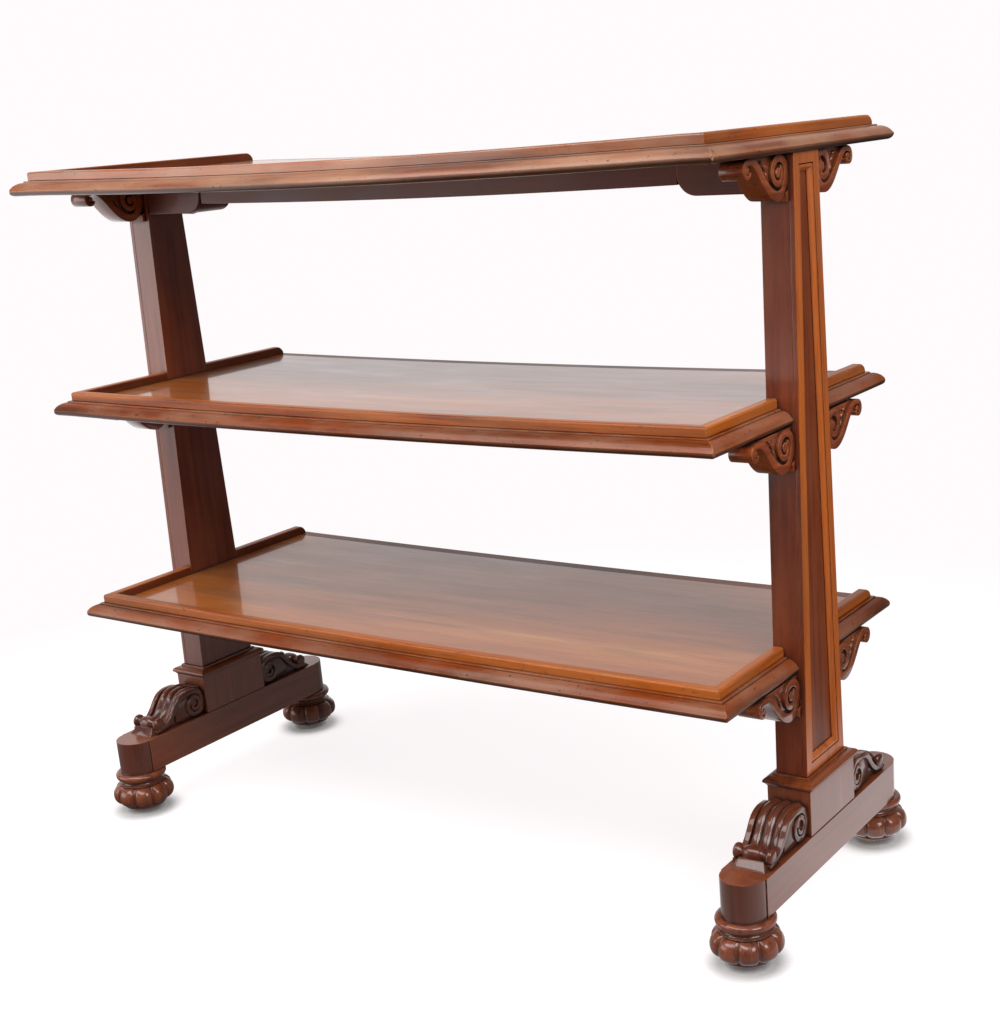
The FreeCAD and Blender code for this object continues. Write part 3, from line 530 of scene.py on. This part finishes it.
def makeTier(tier):
    low, high = [Vector(corner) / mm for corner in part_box("edge_long_" + tier)]
    halfX, halfY, under = high.x, high.y, low.z
    setback, strip, steps = tierLook["setback"], tierLook["strip"], tierLook["lengths"]
    foot, sag = under + tierLook["thick"], tierLook["sag"][tier]
    title = tier.capitalize()
    lower = tier != "top"
    faded = "" if lower else "Top"  # the top's mouldings are more faded; the paler tint of the top's front gallery is partly painted sheen

    def longStrip(name, profile, reach):  # along the front, mitred at both corners
        piece = drawOutline(name, [(-halfX + reach, -halfY + u, under + v) for u, v in profile])
        pull(2 * (halfX - reach), 0, 0, steps)
        cutOff((-halfX, -halfY, 0), (-1, 1, 0))
        cutOff((halfX, -halfY, 0), (1, 1, 0))
        if reach == 0:  # years of knocks have blunted the outer corners
            for side in (-1, 1):
                cutOff((side * (halfX - tierLook["blunt"]), -halfY, 0), (side, -1, 0))
        return piece

    def endStrip(name, profile, start, end, steps):  # along the right end
        piece = drawOutline(name, [(halfX - u, start, under + v) for u, v in profile])
        pull(0, end - start, 0, steps)
        return piece

    def cutAtUpright(sign):  # sign -1 keeps the part before the upright, 1 the part behind it
        cutOff((0, sign * postFace(under), under), (0, -sign, -upright["slope"]))

    board = drawOutline("board" + title, [
        (-halfX + strip, -halfY + strip, under), (-halfX + strip, halfY - strip, under),
        (-halfX + strip, halfY - strip, foot), (-halfX + strip, -halfY + strip, foot)])
    pull(2 * (halfX - strip), 0, 0, steps)
    closeUp(board, 0.35)
    sagged(board, sag)
    handOver(board, "shelf_mahogany", woods["ShelfX"], "board_" + tier)

    front = longStrip("edgeFront" + title, edgeProfile, 0)
    closeUp(front, 0.4)
    sagged(front, sag)
    back = mirrorCopy(front, "edgeBack" + title, "y")
    longEdges = joinPieces("edgeLong" + title, front, back)
    handOver(longEdges, "moulding_mahogany", woods[faded + "EdgeX"], "edge_long_" + tier)

    end = endStrip("edgeEnd" + title, edgeProfile, -halfY, 0 if lower else halfY, tierLook["endLengths"])
    cutOff((halfX, -halfY, 0), (-1, -1, 0))
    cutOff((halfX - tierLook["blunt"], -halfY, 0), (1, -1, 0))
    if lower:
        cutAtUpright(-1)
        closeUp(end, 0.4)
        end = joinPieces(end.name, end, mirrorCopy(end, "edgeRear", "y"))
    else:
        cutOff((halfX, halfY, 0), (-1, 1, 0))
        closeUp(end, 0.4)
    ends = joinPieces("edgeEnds" + title, end, mirrorCopy(end, "edgeLeft", "x"))
    handOver(ends, "moulding_mahogany", woods[faded + "EdgeY"], "edge_ends_" + tier)

    gallery = longStrip("galleryFront" + title, galleryProfile, setback)
    closeUp(gallery, 0.5)
    sagged(gallery, sag)
    handOver(gallery, "moulding_mahogany", woods[faded + "GalleryX"], "gallery_front_" + tier)

    rise, radius, lengths = tierLook["galleryRise"], tierLook["endRound"], tierLook["galleryLengths"]
    stop = halfY - setback

    def roundOver(place):  # the open end of the gallery curves down to the board
        past = max(0, place.y - (stop - radius))
        share = (rise - radius + math.sqrt(max(0, radius ** 2 - past ** 2))) / rise
        return place.x, place.y, foot + (place.z - foot) * share

    far = endStrip("galleryRight" + title, galleryProfile, 0 if lower else -stop, stop - radius, lengths)
    pull(0, radius * 0.6, 0, 4)
    pull(0, radius * 0.4, 0, 8)  # finer where the curve is steep
    if lower:
        cutAtUpright(1)
    else:
        cutOff((halfX - setback, -stop, 0), (-1, -1, 0))
    closeUp(far, 0.5)
    moveVertices(far, roundOver)
    if lower:
        near = endStrip("galleryNear" + title, galleryProfile, -stop, 0, lengths)
        cutOff((halfX - setback, -stop, 0), (-1, -1, 0))
        cutAtUpright(-1)
        far = joinPieces(far.name, far, closeUp(near, 0.5))
    ends = joinPieces("galleryEnds" + title, far, mirrorCopy(far, "galleryLeft", "x"))
    handOver(ends, "moulding_mahogany", woods["GalleryY"], "gallery_ends_" + tier)
    addWood(ends, "GalleryInsideY",  # painted shade: the inner faces, which lie in shade, take a darker copy of the wood
            lambda centre, normal: normal.x * centre.x < -0.7 * abs(centre.x))


for tier in ("bottom", "middle", "top"):
    makeTier(tier)
print("tiers built")


# bearer blocks and the long rail under the top
bearer = {"end": 432.0, "low": 971.0, "top": 1019.0, "half": 35.0, "round": 28.0,
          "railLow": 988.0, "railHalf": 32.5, "railLengths": 24}


def makeBearers():
    end, radius = bearer["end"], bearer["round"]
    side = arc((end + radius, bearer["low"] + radius), radius, 180, 270, 10)
    corners = side + [(upright["inner"], bearer["low"]), (upright["inner"], bearer["top"]),
                      (end, bearer["top"])]
    block = drawOutline("bearerRight", [(x, -bearer["half"], z) for x, z in corners])
    pull(0, 2 * bearer["half"], 0)
    closeUp(block, 2.2, 3)
    pair = joinPieces("topBearers", block, mirrorCopy(block, "bearerLeft", "x"))
    handOver(pair, "bearer_mahogany", woods["BearerX"], "top_bearers")
    half, low, top = bearer["railHalf"], bearer["railLow"], bearer["top"]
    beam = drawOutline("topRail", [(-end, -half, low), (-end, half, low),
                                   (-end, half, top), (-end, -half, top)])
    pull(2 * end, 0, 0, bearer["railLengths"])
    closeUp(beam, 1.5)
    sagged(beam, tierLook["sag"]["top"])
    handOver(beam, "bearer_mahogany", woods["BearerX"], "top_rail")


makeBearers()
print("bearers built")


# scroll brackets: a carved S band round a small roll and a volute, on a sunk ground
# places in mm: out from the upright's face, down from the tier, half width of the band
bracket = {"half": 16.5, "ground": 11.5, "eyeHalf": 15.9, "arris": 1.0, "roll": (104.6, 14.8),
           "volute": (25.6, 22.4), "leafThick": 3.4, "leafTaper": 0.45}
bracket["band"] = (
    spiral(bracket["roll"], (7.2, 9.5), (160, -90), (2.0, 3.7), 8)
    + [(96.5, 4.6, 3.9), (86.5, 8.2, 4.5), (76.0, 17.0, 4.8), (65.5, 28.0, 5.1),
       (54.5, 38.4, 5.5), (42.5, 46.2, 5.9), (30.5, 49.4, 6.0), (19.0, 46.6, 5.7)]
    + spiral(bracket["volute"], (20.0, 16.6), (140, 330), (5.4, 4.4), 7)
    + spiral(bracket["volute"], (16.0, 7.0), (360, 600), (4.1, 3.8), 9))
bracket["sunk"] = [(0, 1), (0, 52), (8, 50), (18, 47), (30.5, 49.4), (42.5, 46.2), (54.5, 38.4), (65.5, 28),
                   (76, 17), (86.5, 8.5), (96, 5.5), (100, 1)]
bracket["pad"] = [(0, 58), (6, 58), (6, 52), (9, 47), (0, 44)]
bracket["eyes"] = [(bracket["roll"], 4.9), (bracket["volute"], 6.6)]
bracket["leaves"] = [  # middle, length, width, turn in degrees
    ((53.0, 25.0), 13.0, 5.6, 62), ((58.0, 14.5), 11.0, 5.0, 48), ((65.0, 7.5), 9.0, 4.2, 26)]


def makeBracket(tier):
    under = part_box("edge_long_" + tier)[0].z / mm
    wall, lean = postFace(under), upright["slope"]
    title = tier.capitalize()
    middle = upright["middle"]

    def spot(x, out, down):  # front right bracket; its foot follows the upright's slope
        return middle + x, -(wall + lean * down + out), under - down

    parts = []

    def addSlab(name, outline, half, *soft):  # an outline across the bracket's thickness
        parts.append(drawOutline(name, [spot(-half, a, b) for a, b in outline]))
        pull(2 * half, 0, 0)
        closeUp(parts[-1], *soft)

    addSlab("band", bandOutline(bracket["band"], 5), bracket["half"], bracket["arris"])
    addSlab("ground", bracket["sunk"], bracket["ground"], 0.4)
    for eye, radius in bracket["eyes"]:
        disc = [(eye[0] + a, eye[1] + b) for a, b in arc((0, 0), radius, 0, 345, 23)]
        addSlab("eye", disc, bracket["eyeHalf"], 1.5, 3)
    addSlab("pad", bracket["pad"], bracket["half"], 0.8)
    for side in (-1, 1):
        for centre, length, width, turn in bracket["leaves"]:
            clearSelection()
            bpy.ops.mesh.primitive_uv_sphere_add(segments=16, ring_count=8, radius=mm)
            leaf = bpy.context.object
            bend = math.radians(turn)

            def shift(place, centre=centre, length=length, width=width, bend=bend, side=side):
                taper = 1 - bracket["leafTaper"] * max(0, place.y)
                a, b = place.y * length / 2, place.z * width / 2 * taper
                out = centre[0] + a * math.cos(bend) - b * math.sin(bend)
                down = centre[1] - a * math.sin(bend) - b * math.cos(bend)
                return spot(side * bracket["ground"] + place.x * bracket["leafThick"], out, down)
            moveVertices(leaf, shift)
            parts.append(closeUp(leaf))
    front = joinPieces("bracketFront" + title, *parts)
    both = joinPieces(f"brackets{title}Right", front, mirrorCopy(front, "bracketBack", "y"))
    handOverPair(both, "carved_mahogany", woods["BracketY"], f"brackets_{tier}", flat=False)


for tier in ("bottom", "middle", "top"):
    makeBracket(tier)
print("brackets carved")


# plinth: block and its moulded cap, built up from the block's outline
plinth = {"halfX": 32.2, "halfY": 69.0, "low": 126.5, "top": 190.5, "lengths": 4}
plinth["cap"] = [  # past the block in x and y, height
    (0.6, 0.6, 191.0), (1.6, 1.6, 192.6), (3.2, 3.2, 194.4), (4.6, 4.6, 195.2), (5.0, 5.0, 196.0),
    (5.0, 5.0, 198.0), (4.4, 4.4, 199.4), (2.8, 2.6, 201.0), (0.2, -0.4, 202.3), (-3.0, -4.4, 203.1),
    (-5.4, -7.4, 203.4), (-5.4, -7.4, 206.5)]


def makePlinth():
    middle = upright["middle"]
    halfX, halfY = plinth["halfX"], plinth["halfY"]

    def rectangle(name, z):
        return drawOutline(name, [(middle - halfX, -halfY, z), (middle + halfX, -halfY, z),
                                  (middle + halfX, halfY, z), (middle - halfX, halfY, z)])

    block = rectangle("plinthBlockRight", plinth["low"])
    pull(0, 0, plinth["top"] - plinth["low"], plinth["lengths"])
    closeUp(block, 0.9)
    cap = rectangle("plinthCapRight", plinth["top"])
    lastX, lastY, lastZ = halfX, halfY, plinth["top"]
    for outX, outY, level in plinth["cap"]:
        pull(0, 0, level - lastZ)
        newX, newY = halfX + outX, halfY + outY
        bpy.ops.transform.resize(value=(newX / lastX, newY / lastY, 1),
                                 center_override=Vector((middle, 0, level)) * mm)
        lastX, lastY, lastZ = newX, newY, level
    closeUp(cap, 0.4)
    for piece, node, wood in ((block, "plinth_block", "FootZ"), (cap, "plinth_cap", "CapY")):
        handOverPair(piece, "foot_mahogany", woods[wood], node)


makePlinth()
print("plinths built")


# foot rails with round ends that are set in a little behind the cheeks
rail = {"half": 33.4, "endHalf": 32.0, "run": 203.0, "low": 71.0, "top": 126.5,
        "grooveDeep": 1.4, "grooveWide": 1.4}


def makeRail():
    middle, half, end, run = upright["middle"], rail["half"], rail["endHalf"], rail["run"]
    sunk, wide = end - rail["grooveDeep"], rail["grooveWide"]
    side = arc((0, run), end, math.degrees(wide / end), 90, 18)  # from the groove to the tip
    quarter = [(half, 0), (half, run), (sunk, run), (sunk, run + wide)] + side
    halfRound = quarter + [(-x, y) for x, y in quarter[-2::-1]]
    corners = [(middle + x, y) for x, y in halfRound] + [(middle - x, -y) for x, y in halfRound[1:-1]]
    piece = drawOutline("footRailRight", [(x, y, rail["low"]) for x, y in corners])
    pull(0, 0, rail["top"] - rail["low"])
    closeUp(piece, 1.1)
    for foot in handOverPair(piece, "foot_mahogany", woods["FootY"], "foot_rail"):
        addWood(foot, "EndGrainZ", lambda centre, normal: abs(centre.y) > run and abs(normal.z) < 0.5)


makeRail()
print("foot rails built")


# scroll knees: reeded shoulder between two carved rims, a turned roll and a bevelled toe
# places in mm: out from the plinth, up from the rail
knee = {"half": 28.0, "core": 22.5, "slices": 54, "wall": 69.0, "floor": 126.5, "volute": (22.4, 23.6),
        "reeds": 3, "reedHigh": 5.0, "reedSunk": 2.9, "reedRound": 0.75, "reedLow": 9.5, "reedEnd": 97.5,
        "fadeEnd": 100.0, "fadeRun": 30.0, "rimLap": 2.0, "groundLap": 1.0, "groundIn": 3.0,
        "groundDrop": 3.2, "roll": (102.6, 15.0), "rollSteps": 40, "toeHalf": 25.2, "toeTop": 18.5,
        "toeHigh": 11.5, "toeBack": 92.0, "toeFront": 124.0, "toeLedge": 112.5}
knee["rim"] = (
    [(112.0, 4.6, 2.6), (101.0, 5.4, 2.9), (90.0, 8.6, 3.3), (79.0, 15.6, 3.6), (70.0, 25.0, 3.8),
     (62.0, 35.4, 3.9), (53.0, 43.8, 4.0), (40.0, 48.0, 4.0)]
    + spiral(knee["volute"], (24.4, 17.4), (85, 185), (4.0, 3.9), 5)
    + spiral(knee["volute"], (17.4, 14.2), (210, 440), (3.9, 3.4), 8)
    + spiral(knee["volute"], (13.4, 5.6), (460, 720), (3.3, 2.4), 9))
knee["top"] = [(0, 45.5), (8, 48.5), (18, 50.6), (28, 51.4), (38, 50.8), (47, 48.0), (54, 43.2), (60, 36.6),
               (65.5, 28.8), (71.5, 21.4), (79, 15.4), (88, 11.4), (97, 10.0)]
knee["foot"] = [(100, 9), (100, 0), (50, 0), (0, 0)]
knee["groundFoot"] = [(66, 6), (50, 1), (0, 1)]
knee["rollShape"] = [  # along the roll from its middle, radius
    (0, 11.4), (5, 11.3), (9.5, 10.4), (13, 8.6), (15.2, 6.6), (17, 6.2), (18.6, 7.4), (20.4, 9.6),
    (22.6, 10.9), (25, 11.0), (27, 9.9), (28.4, 7.6), (28.9, 4.0), (29.0, 0.0)]


def makeKnee():
    middle, wall, floor = upright["middle"], knee["wall"], knee["floor"]

    def spot(x, out, up):  # front right knee
        return middle + x, -(wall + out), floor + up

    parts = []
    core = knee["core"]
    top = [(point.x, point.y) for point in smoothPath([(a, b, 0) for a, b in knee["top"]], 3)]
    body = drawOutline("core", [spot(-core, a, b) for a, b in top + knee["foot"]])
    pull(2 * core, 0, 0, knee["slices"])
    closeUp(body, 0)
    reedWide = 2 * core / knee["reeds"]

    def reeded(place):  # lifts the top into reeds, which die out towards the toe
        x, out, up = place.x - middle, -place.y - wall, place.z - floor
        if up < knee["reedLow"] or out > knee["reedEnd"]:
            return place
        best = min(range(len(top)), key=lambda i: (top[i][0] - out) ** 2 + (top[i][1] - up) ** 2)
        ahead = Vector(top[min(best + 1, len(top) - 1)]) - Vector(top[max(best - 1, 0)])
        side = Vector((-ahead.y, ahead.x)).normalized()
        swell = abs(math.cos(math.pi * x / reedWide)) ** knee["reedRound"]
        fade = min(1, (knee["fadeEnd"] - out) / knee["fadeRun"])
        lift = (knee["reedHigh"] * swell - knee["reedSunk"]) * fade
        return middle + x, place.y - side.x * lift, place.z + side.y * lift
    moveVertices(body, reeded)
    parts.append(closeUp(body, 0, smooth=50))

    def addCheeks(name, outline, inner, outer, arris):  # the same slab on both cheeks
        for start, end in ((-outer, -inner), (inner, outer)):
            parts.append(drawOutline(name, [spot(start, a, b) for a, b in outline]))
            pull(end - start, 0, 0)
            closeUp(parts[-1], arris)

    addCheeks("rim", bandOutline(knee["rim"], 5), core - knee["rimLap"], knee["half"], 0.9)
    half, rear, tip = knee["toeHalf"], knee["toeBack"], knee["toeFront"]
    corners = [(-half, rear), (half, rear), (half, tip), (-half, tip)]
    parts.append(drawOutline("toe", [spot(x, out, 0) for x, out in corners]))
    pull(0, 0, knee["toeHigh"])
    bpy.ops.transform.resize(
        value=(knee["toeTop"] / half, (knee["toeLedge"] - rear) / (tip - rear), 1),
        center_override=Vector(spot(0, rear, knee["toeHigh"])) * mm)
    closeUp(parts[-1], 0.9)
    shape = [(-x, r) for x, r in knee["rollShape"][:0:-1]] + knee["rollShape"]
    out, up = knee["roll"]
    roll = drawOutline("roll", [spot(x, out, up + r) for x, r in shape])
    bpy.ops.mesh.delete(type="ONLY_FACE")
    bpy.ops.mesh.select_all(action="SELECT")
    bpy.ops.mesh.spin(steps=knee["rollSteps"], angle=math.tau, center=Vector(spot(0, out, up)) * mm,
                      axis=(1, 0, 0))
    parts.append(closeUp(roll, 0, smooth=60))
    ground = [(a, b - knee["groundDrop"]) for a, b in knee["top"] if a < knee["groundFoot"][0][0]]
    addCheeks("ground", ground + knee["groundFoot"], core - knee["groundLap"],
              knee["half"] - knee["groundIn"], 0.4)
    front = joinPieces("scrollKneeFrontRight", *parts)
    back = mirrorCopy(front, "scrollKneeBackRight", "y")
    for piece, place in ((front, "front"), (back, "back")):
        handOverPair(piece, "carved_mahogany", woods["CarvedY"], "scroll_knee_" + place, flat=False)


makeKnee()
print("knees carved")


# bun feet: a turned collar over a lobed bun, hollow underneath for the castor
bun = {"lobes": 9, "facing": -58.4, "lobeLow": 14.8, "lobeTop": 50.6, "lobeWide": 0.9, "crease": 6.6,
       "core": 33.2, "steps": 180}
bun["collar"] = [  # radius, height
    (0, 70.9), (35, 70.9), (37.6, 70.5), (39.8, 69.0), (40.9, 66.8), (41, 65), (40.6, 62.6), (39.2, 60.4),
    (36.6, 59.2), (34.4, 58.6), (33.0, 57.2), (32.6, 55.6), (33.0, 54.2)]
bun["belly"] = [
    (33.8, 53.2), (35.4, 51.8), (38.6, 50.4), (42.6, 47.6), (46.0, 43.6), (48.4, 38.2), (49.4, 32.4),
    (48.8, 26.4), (46.4, 21.4), (42.2, 17.6), (37.2, 15.4)]
bun["base"] = [
    (34.8, 13.6), (34.4, 11.6), (33.6, 10.4), (32.6, 10.0), (31.2, 10.2), (31.0, 12), (31.0, 47.8),
    (0, 47.8)]


def makeBun():
    centre = Vector((upright["middle"], -rail["run"], 0))
    belly = [(point.x, point.y) for point in smoothPath([(r, z, 0) for r, z in bun["belly"]], 4)]
    shape = bun["collar"] + belly + bun["base"]
    piece = drawOutline("bunFootFrontRight", [(centre.x + r, centre.y, z) for r, z in shape])
    bpy.ops.mesh.delete(type="ONLY_FACE")
    bpy.ops.mesh.select_all(action="SELECT")
    bpy.ops.mesh.spin(steps=bun["steps"], angle=math.tau, center=centre * mm, axis=(0, 0, 1))
    closeUp(piece, 0, smooth=50)
    low, high = bun["lobeLow"], bun["lobeTop"]

    def lobed(place):  # draws the creases in between rounded lobes
        arm = place - centre
        reach = math.hypot(arm.x, arm.y)
        if reach < bun["core"] or not low < place.z < high:
            return place
        turn = (math.degrees(math.atan2(arm.y, arm.x)) - bun["facing"]) / 360 * bun["lobes"]
        across = min(1, abs(turn - round(turn)) * 2 / bun["lobeWide"])  # 0 on a lobe, 1 in the crease
        height = abs((place.z - (low + high) / 2) / ((high - low) / 2))
        pillow = math.sqrt(max(0, 1 - across ** 3)) * math.sqrt(max(0, 1 - height ** 4))
        share = max(bun["core"], reach - bun["crease"] * (1 - pillow)) / reach
        return centre.x + arm.x * share, centre.y + arm.y * share, place.z
    moveVertices(piece, lobed)
    back = mirrorCopy(piece, "bunFootBackRight", "y")
    for side, place in ((piece, "front"), (back, "back")):
        handOverPair(side, "carved_mahogany", woods["BunZ"], "bun_foot_" + place, flat=False)


makeBun()
print("bun feet turned")


# studio: white paper floor, white wall behind to the left, dark room in front and to the right;
# a soft key lamp stands at the right, a wide softbox hangs in front, and a tall pale screen at the left
# front shows in the front faces; places in metres
studio = {"floor": 14.0, "ambient": 0.42, "roomGloss": 0.12, "wallGloss": 1.0, "paper": "#9c9a99",
          "white": "#fffbfc", "glow": 0.86, "shade": 0.05, "contact": 0.048, "near": 0.9, "far": 1.7,
          "sheen": 1.1, "leftSheen": 1.2, "sheenNear": 0.9, "sheenFar": 1.12}
lamps = {
    "keyLamp": {"place": (2.9, -1.0, 2.2), "aim": (0.2, 0, 0.5), "size": (1.6, 1.6), "power": 52},
    "softbox": {"place": (-0.2, -1.7, 2.9), "aim": (0, 0, 0.4), "size": (3.8, 1.4), "power": 78},
    "paleScreen": {"place": (-2.6, -2.3, 1.25), "aim": (0, 0, 0.8), "size": (2.3, 1.7), "power": 31},
}


def areaLamp(name, place, aim, size, power):
    lamp = bpy.data.lights.new(name, "AREA")
    lamp.shape, lamp.size, lamp.size_y, lamp.energy = "RECTANGLE", size[0], size[1], power
    holder = bpy.data.objects.new(name, lamp)
    holder.location = place
    holder.rotation_euler = (Vector(aim) - Vector(place)).to_track_quat("-Z", "Y").to_euler()
    bpy.context.scene.collection.objects.link(holder)


def layFloor():  # bleached paper, white but for the shadows at the feet, partly real and partly painted
    clearSelection()
    bpy.ops.mesh.primitive_plane_add(size=studio["floor"])
    floor = bpy.context.object
    floor.name = "studioFloor"
    material, tree = newMaterial("matteWhitePaper")
    white = toLinear(studio["white"])
    path = addNode(tree, "ShaderNodeLightPath")
    place = addNode(tree, "ShaderNodeTexCoord")
    reach = addNode(tree, "ShaderNodeVectorMath", {"operation": "LENGTH"}, links={0: (place, "Object")})
    axes = addNode(tree, "ShaderNodeSeparateXYZ", links={"Vector": (place, "Object")})

    # painted shadow: ambient occlusion dims the floor's glow near the feet
    contact = addNode(tree, "ShaderNodeAmbientOcclusion", {"samples": 12}, {"Distance": studio["contact"]})
    glow = squeeze(tree, (contact, "AO"), 0.44, 0.82, studio["shade"], studio["glow"])
    seen = combine(tree, "MULTIPLY", (path, "Is Camera Ray"), (glow, "Result"))
    paper = addNode(tree, "ShaderNodeBsdfDiffuse", values={"Color": toLinear(studio["paper"])})
    light = addNode(tree, "ShaderNodeEmission", values={"Color": white},
                    links={"Strength": (seen, "Value")})
    nearPaper = addNode(tree, "ShaderNodeAddShader", links={0: (paper, "BSDF"), 1: (light, "Emission")})
    farPaper = addNode(tree, "ShaderNodeEmission", values={"Color": white})
    away = squeeze(tree, (reach, "Value"), studio["near"], studio["far"])
    bleach = combine(tree, "MULTIPLY", (path, "Is Camera Ray"), (away, "Result"))
    bleached = addNode(tree, "ShaderNodeMixShader",
                       links={0: (bleach, "Value"), 1: (nearPaper, "Shader"), 2: (farPaper, "Emission")})

    # what polished faces mirror of the floor fades with distance and to the right
    fade = squeeze(tree, (reach, "Value"), studio["sheenNear"], studio["sheenFar"], studio["sheen"], 0.05)
    behind = squeeze(tree, (axes, "Y"), -0.5, 0.1)
    shaded = squeeze(tree, (axes, "X"), 0.0, 0.6, 0.2, 1.0)
    ahead = combine(tree, "MULTIPLY", (fade, "Result"), (behind, "Result"))
    rightward = combine(tree, "MULTIPLY", (ahead, "Value"), (shaded, "Result"))
    leftward = squeeze(tree, (axes, "X"), -0.85, -1.2, 0.0, studio["leftSheen"])
    mirrored = combine(tree, "MAXIMUM", (rightward, "Value"), (leftward, "Result"))
    image = addNode(tree, "ShaderNodeEmission", values={"Color": white},
                    links={"Strength": (mirrored, "Value")})
    whole = addNode(tree, "ShaderNodeMixShader",
                    links={0: (path, "Is Glossy Ray"), 1: (bleached, "Shader"), 2: (image, "Emission")})
    addNode(tree, "ShaderNodeOutputMaterial", links={"Surface": (whole, "Shader")})
    floor.data.materials.append(material)


def lightStudio():
    world = bpy.data.worlds.new("studio")
    bpy.context.scene.world = world
    world.use_nodes = True
    tree = world.node_tree
    tree.nodes.clear()
    path = addNode(tree, "ShaderNodeLightPath")
    place = addNode(tree, "ShaderNodeTexCoord")
    axes = addNode(tree, "ShaderNodeSeparateXYZ", links={"Vector": (place, "Generated")})
    behind = squeeze(tree, (axes, "Y"), -0.2, 0.3)
    leftward = squeeze(tree, (axes, "X"), 0.25, -0.25)
    lower = squeeze(tree, (axes, "Z"), 0.15, 0.4, 1.0, 0.5)
    side = combine(tree, "MULTIPLY", (behind, "Result"), (leftward, "Result"))
    wall = combine(tree, "MULTIPLY", (side, "Value"), (lower, "Result"))
    gloss = squeeze(tree, (wall, "Value"), 0.0, 1.0, studio["roomGloss"], studio["wallGloss"])
    seen = combine(tree, "MAXIMUM", (path, "Is Camera Ray"), (path, "Is Transmission Ray"))
    soft = addNode(tree, "ShaderNodeMix", {"data_type": "FLOAT"}, {2: studio["ambient"]},
                   {0: (path, "Is Glossy Ray"), 3: (gloss, "Result")})
    strength = addNode(tree, "ShaderNodeMix", {"data_type": "FLOAT"}, {3: 1.0},
                       {0: (seen, "Value"), 2: (soft, 0)})
    light = addNode(tree, "ShaderNodeBackground", values={"Color": toLinear(studio["white"])},
                    links={"Strength": (strength, 0)})
    addNode(tree, "ShaderNodeOutputWorld", links={"Surface": (light, "Background")})
    for name, lamp in lamps.items():
        areaLamp(name, **lamp)


layFloor()
lightStudio()
print("studio lit")


# the photograph's camera: place in metres, turn in degrees, offsets of its frame
view = {"place": (1.4942, -1.8399, 1.0907), "yaw": 34.248, "pitch": -15.782, "roll": -4.165,
        "focalPixels": 1601.35, "frameHeight": 1030, "sensor": 36, "shiftX": -0.0921, "shiftY": 0.0425}


def setCamera():
    lens = bpy.data.cameras.new("camera")
    lens.sensor_fit, lens.sensor_width = "AUTO", view["sensor"]
    lens.lens = view["focalPixels"] * view["sensor"] / view["frameHeight"]
    lens.shift_x, lens.shift_y = view["shiftX"], view["shiftY"]
    lens.clip_start, lens.clip_end = 0.05, 60
    camera = bpy.data.objects.new("camera", lens)
    camera.rotation_mode = "XYZ"
    turn = (Matrix.Rotation(math.radians(view["yaw"]), 4, "Z")
            @ Matrix.Rotation(math.radians(90 + view["pitch"]), 4, "X")
            @ Matrix.Rotation(math.radians(view["roll"]), 4, "Z"))
    camera.matrix_world = Matrix.Translation(view["place"]) @ turn
    bpy.context.scene.collection.objects.link(camera)
    bpy.context.scene.camera = camera
    bpy.context.scene.view_settings.view_transform = "Standard"


setCamera()
print("camera set")
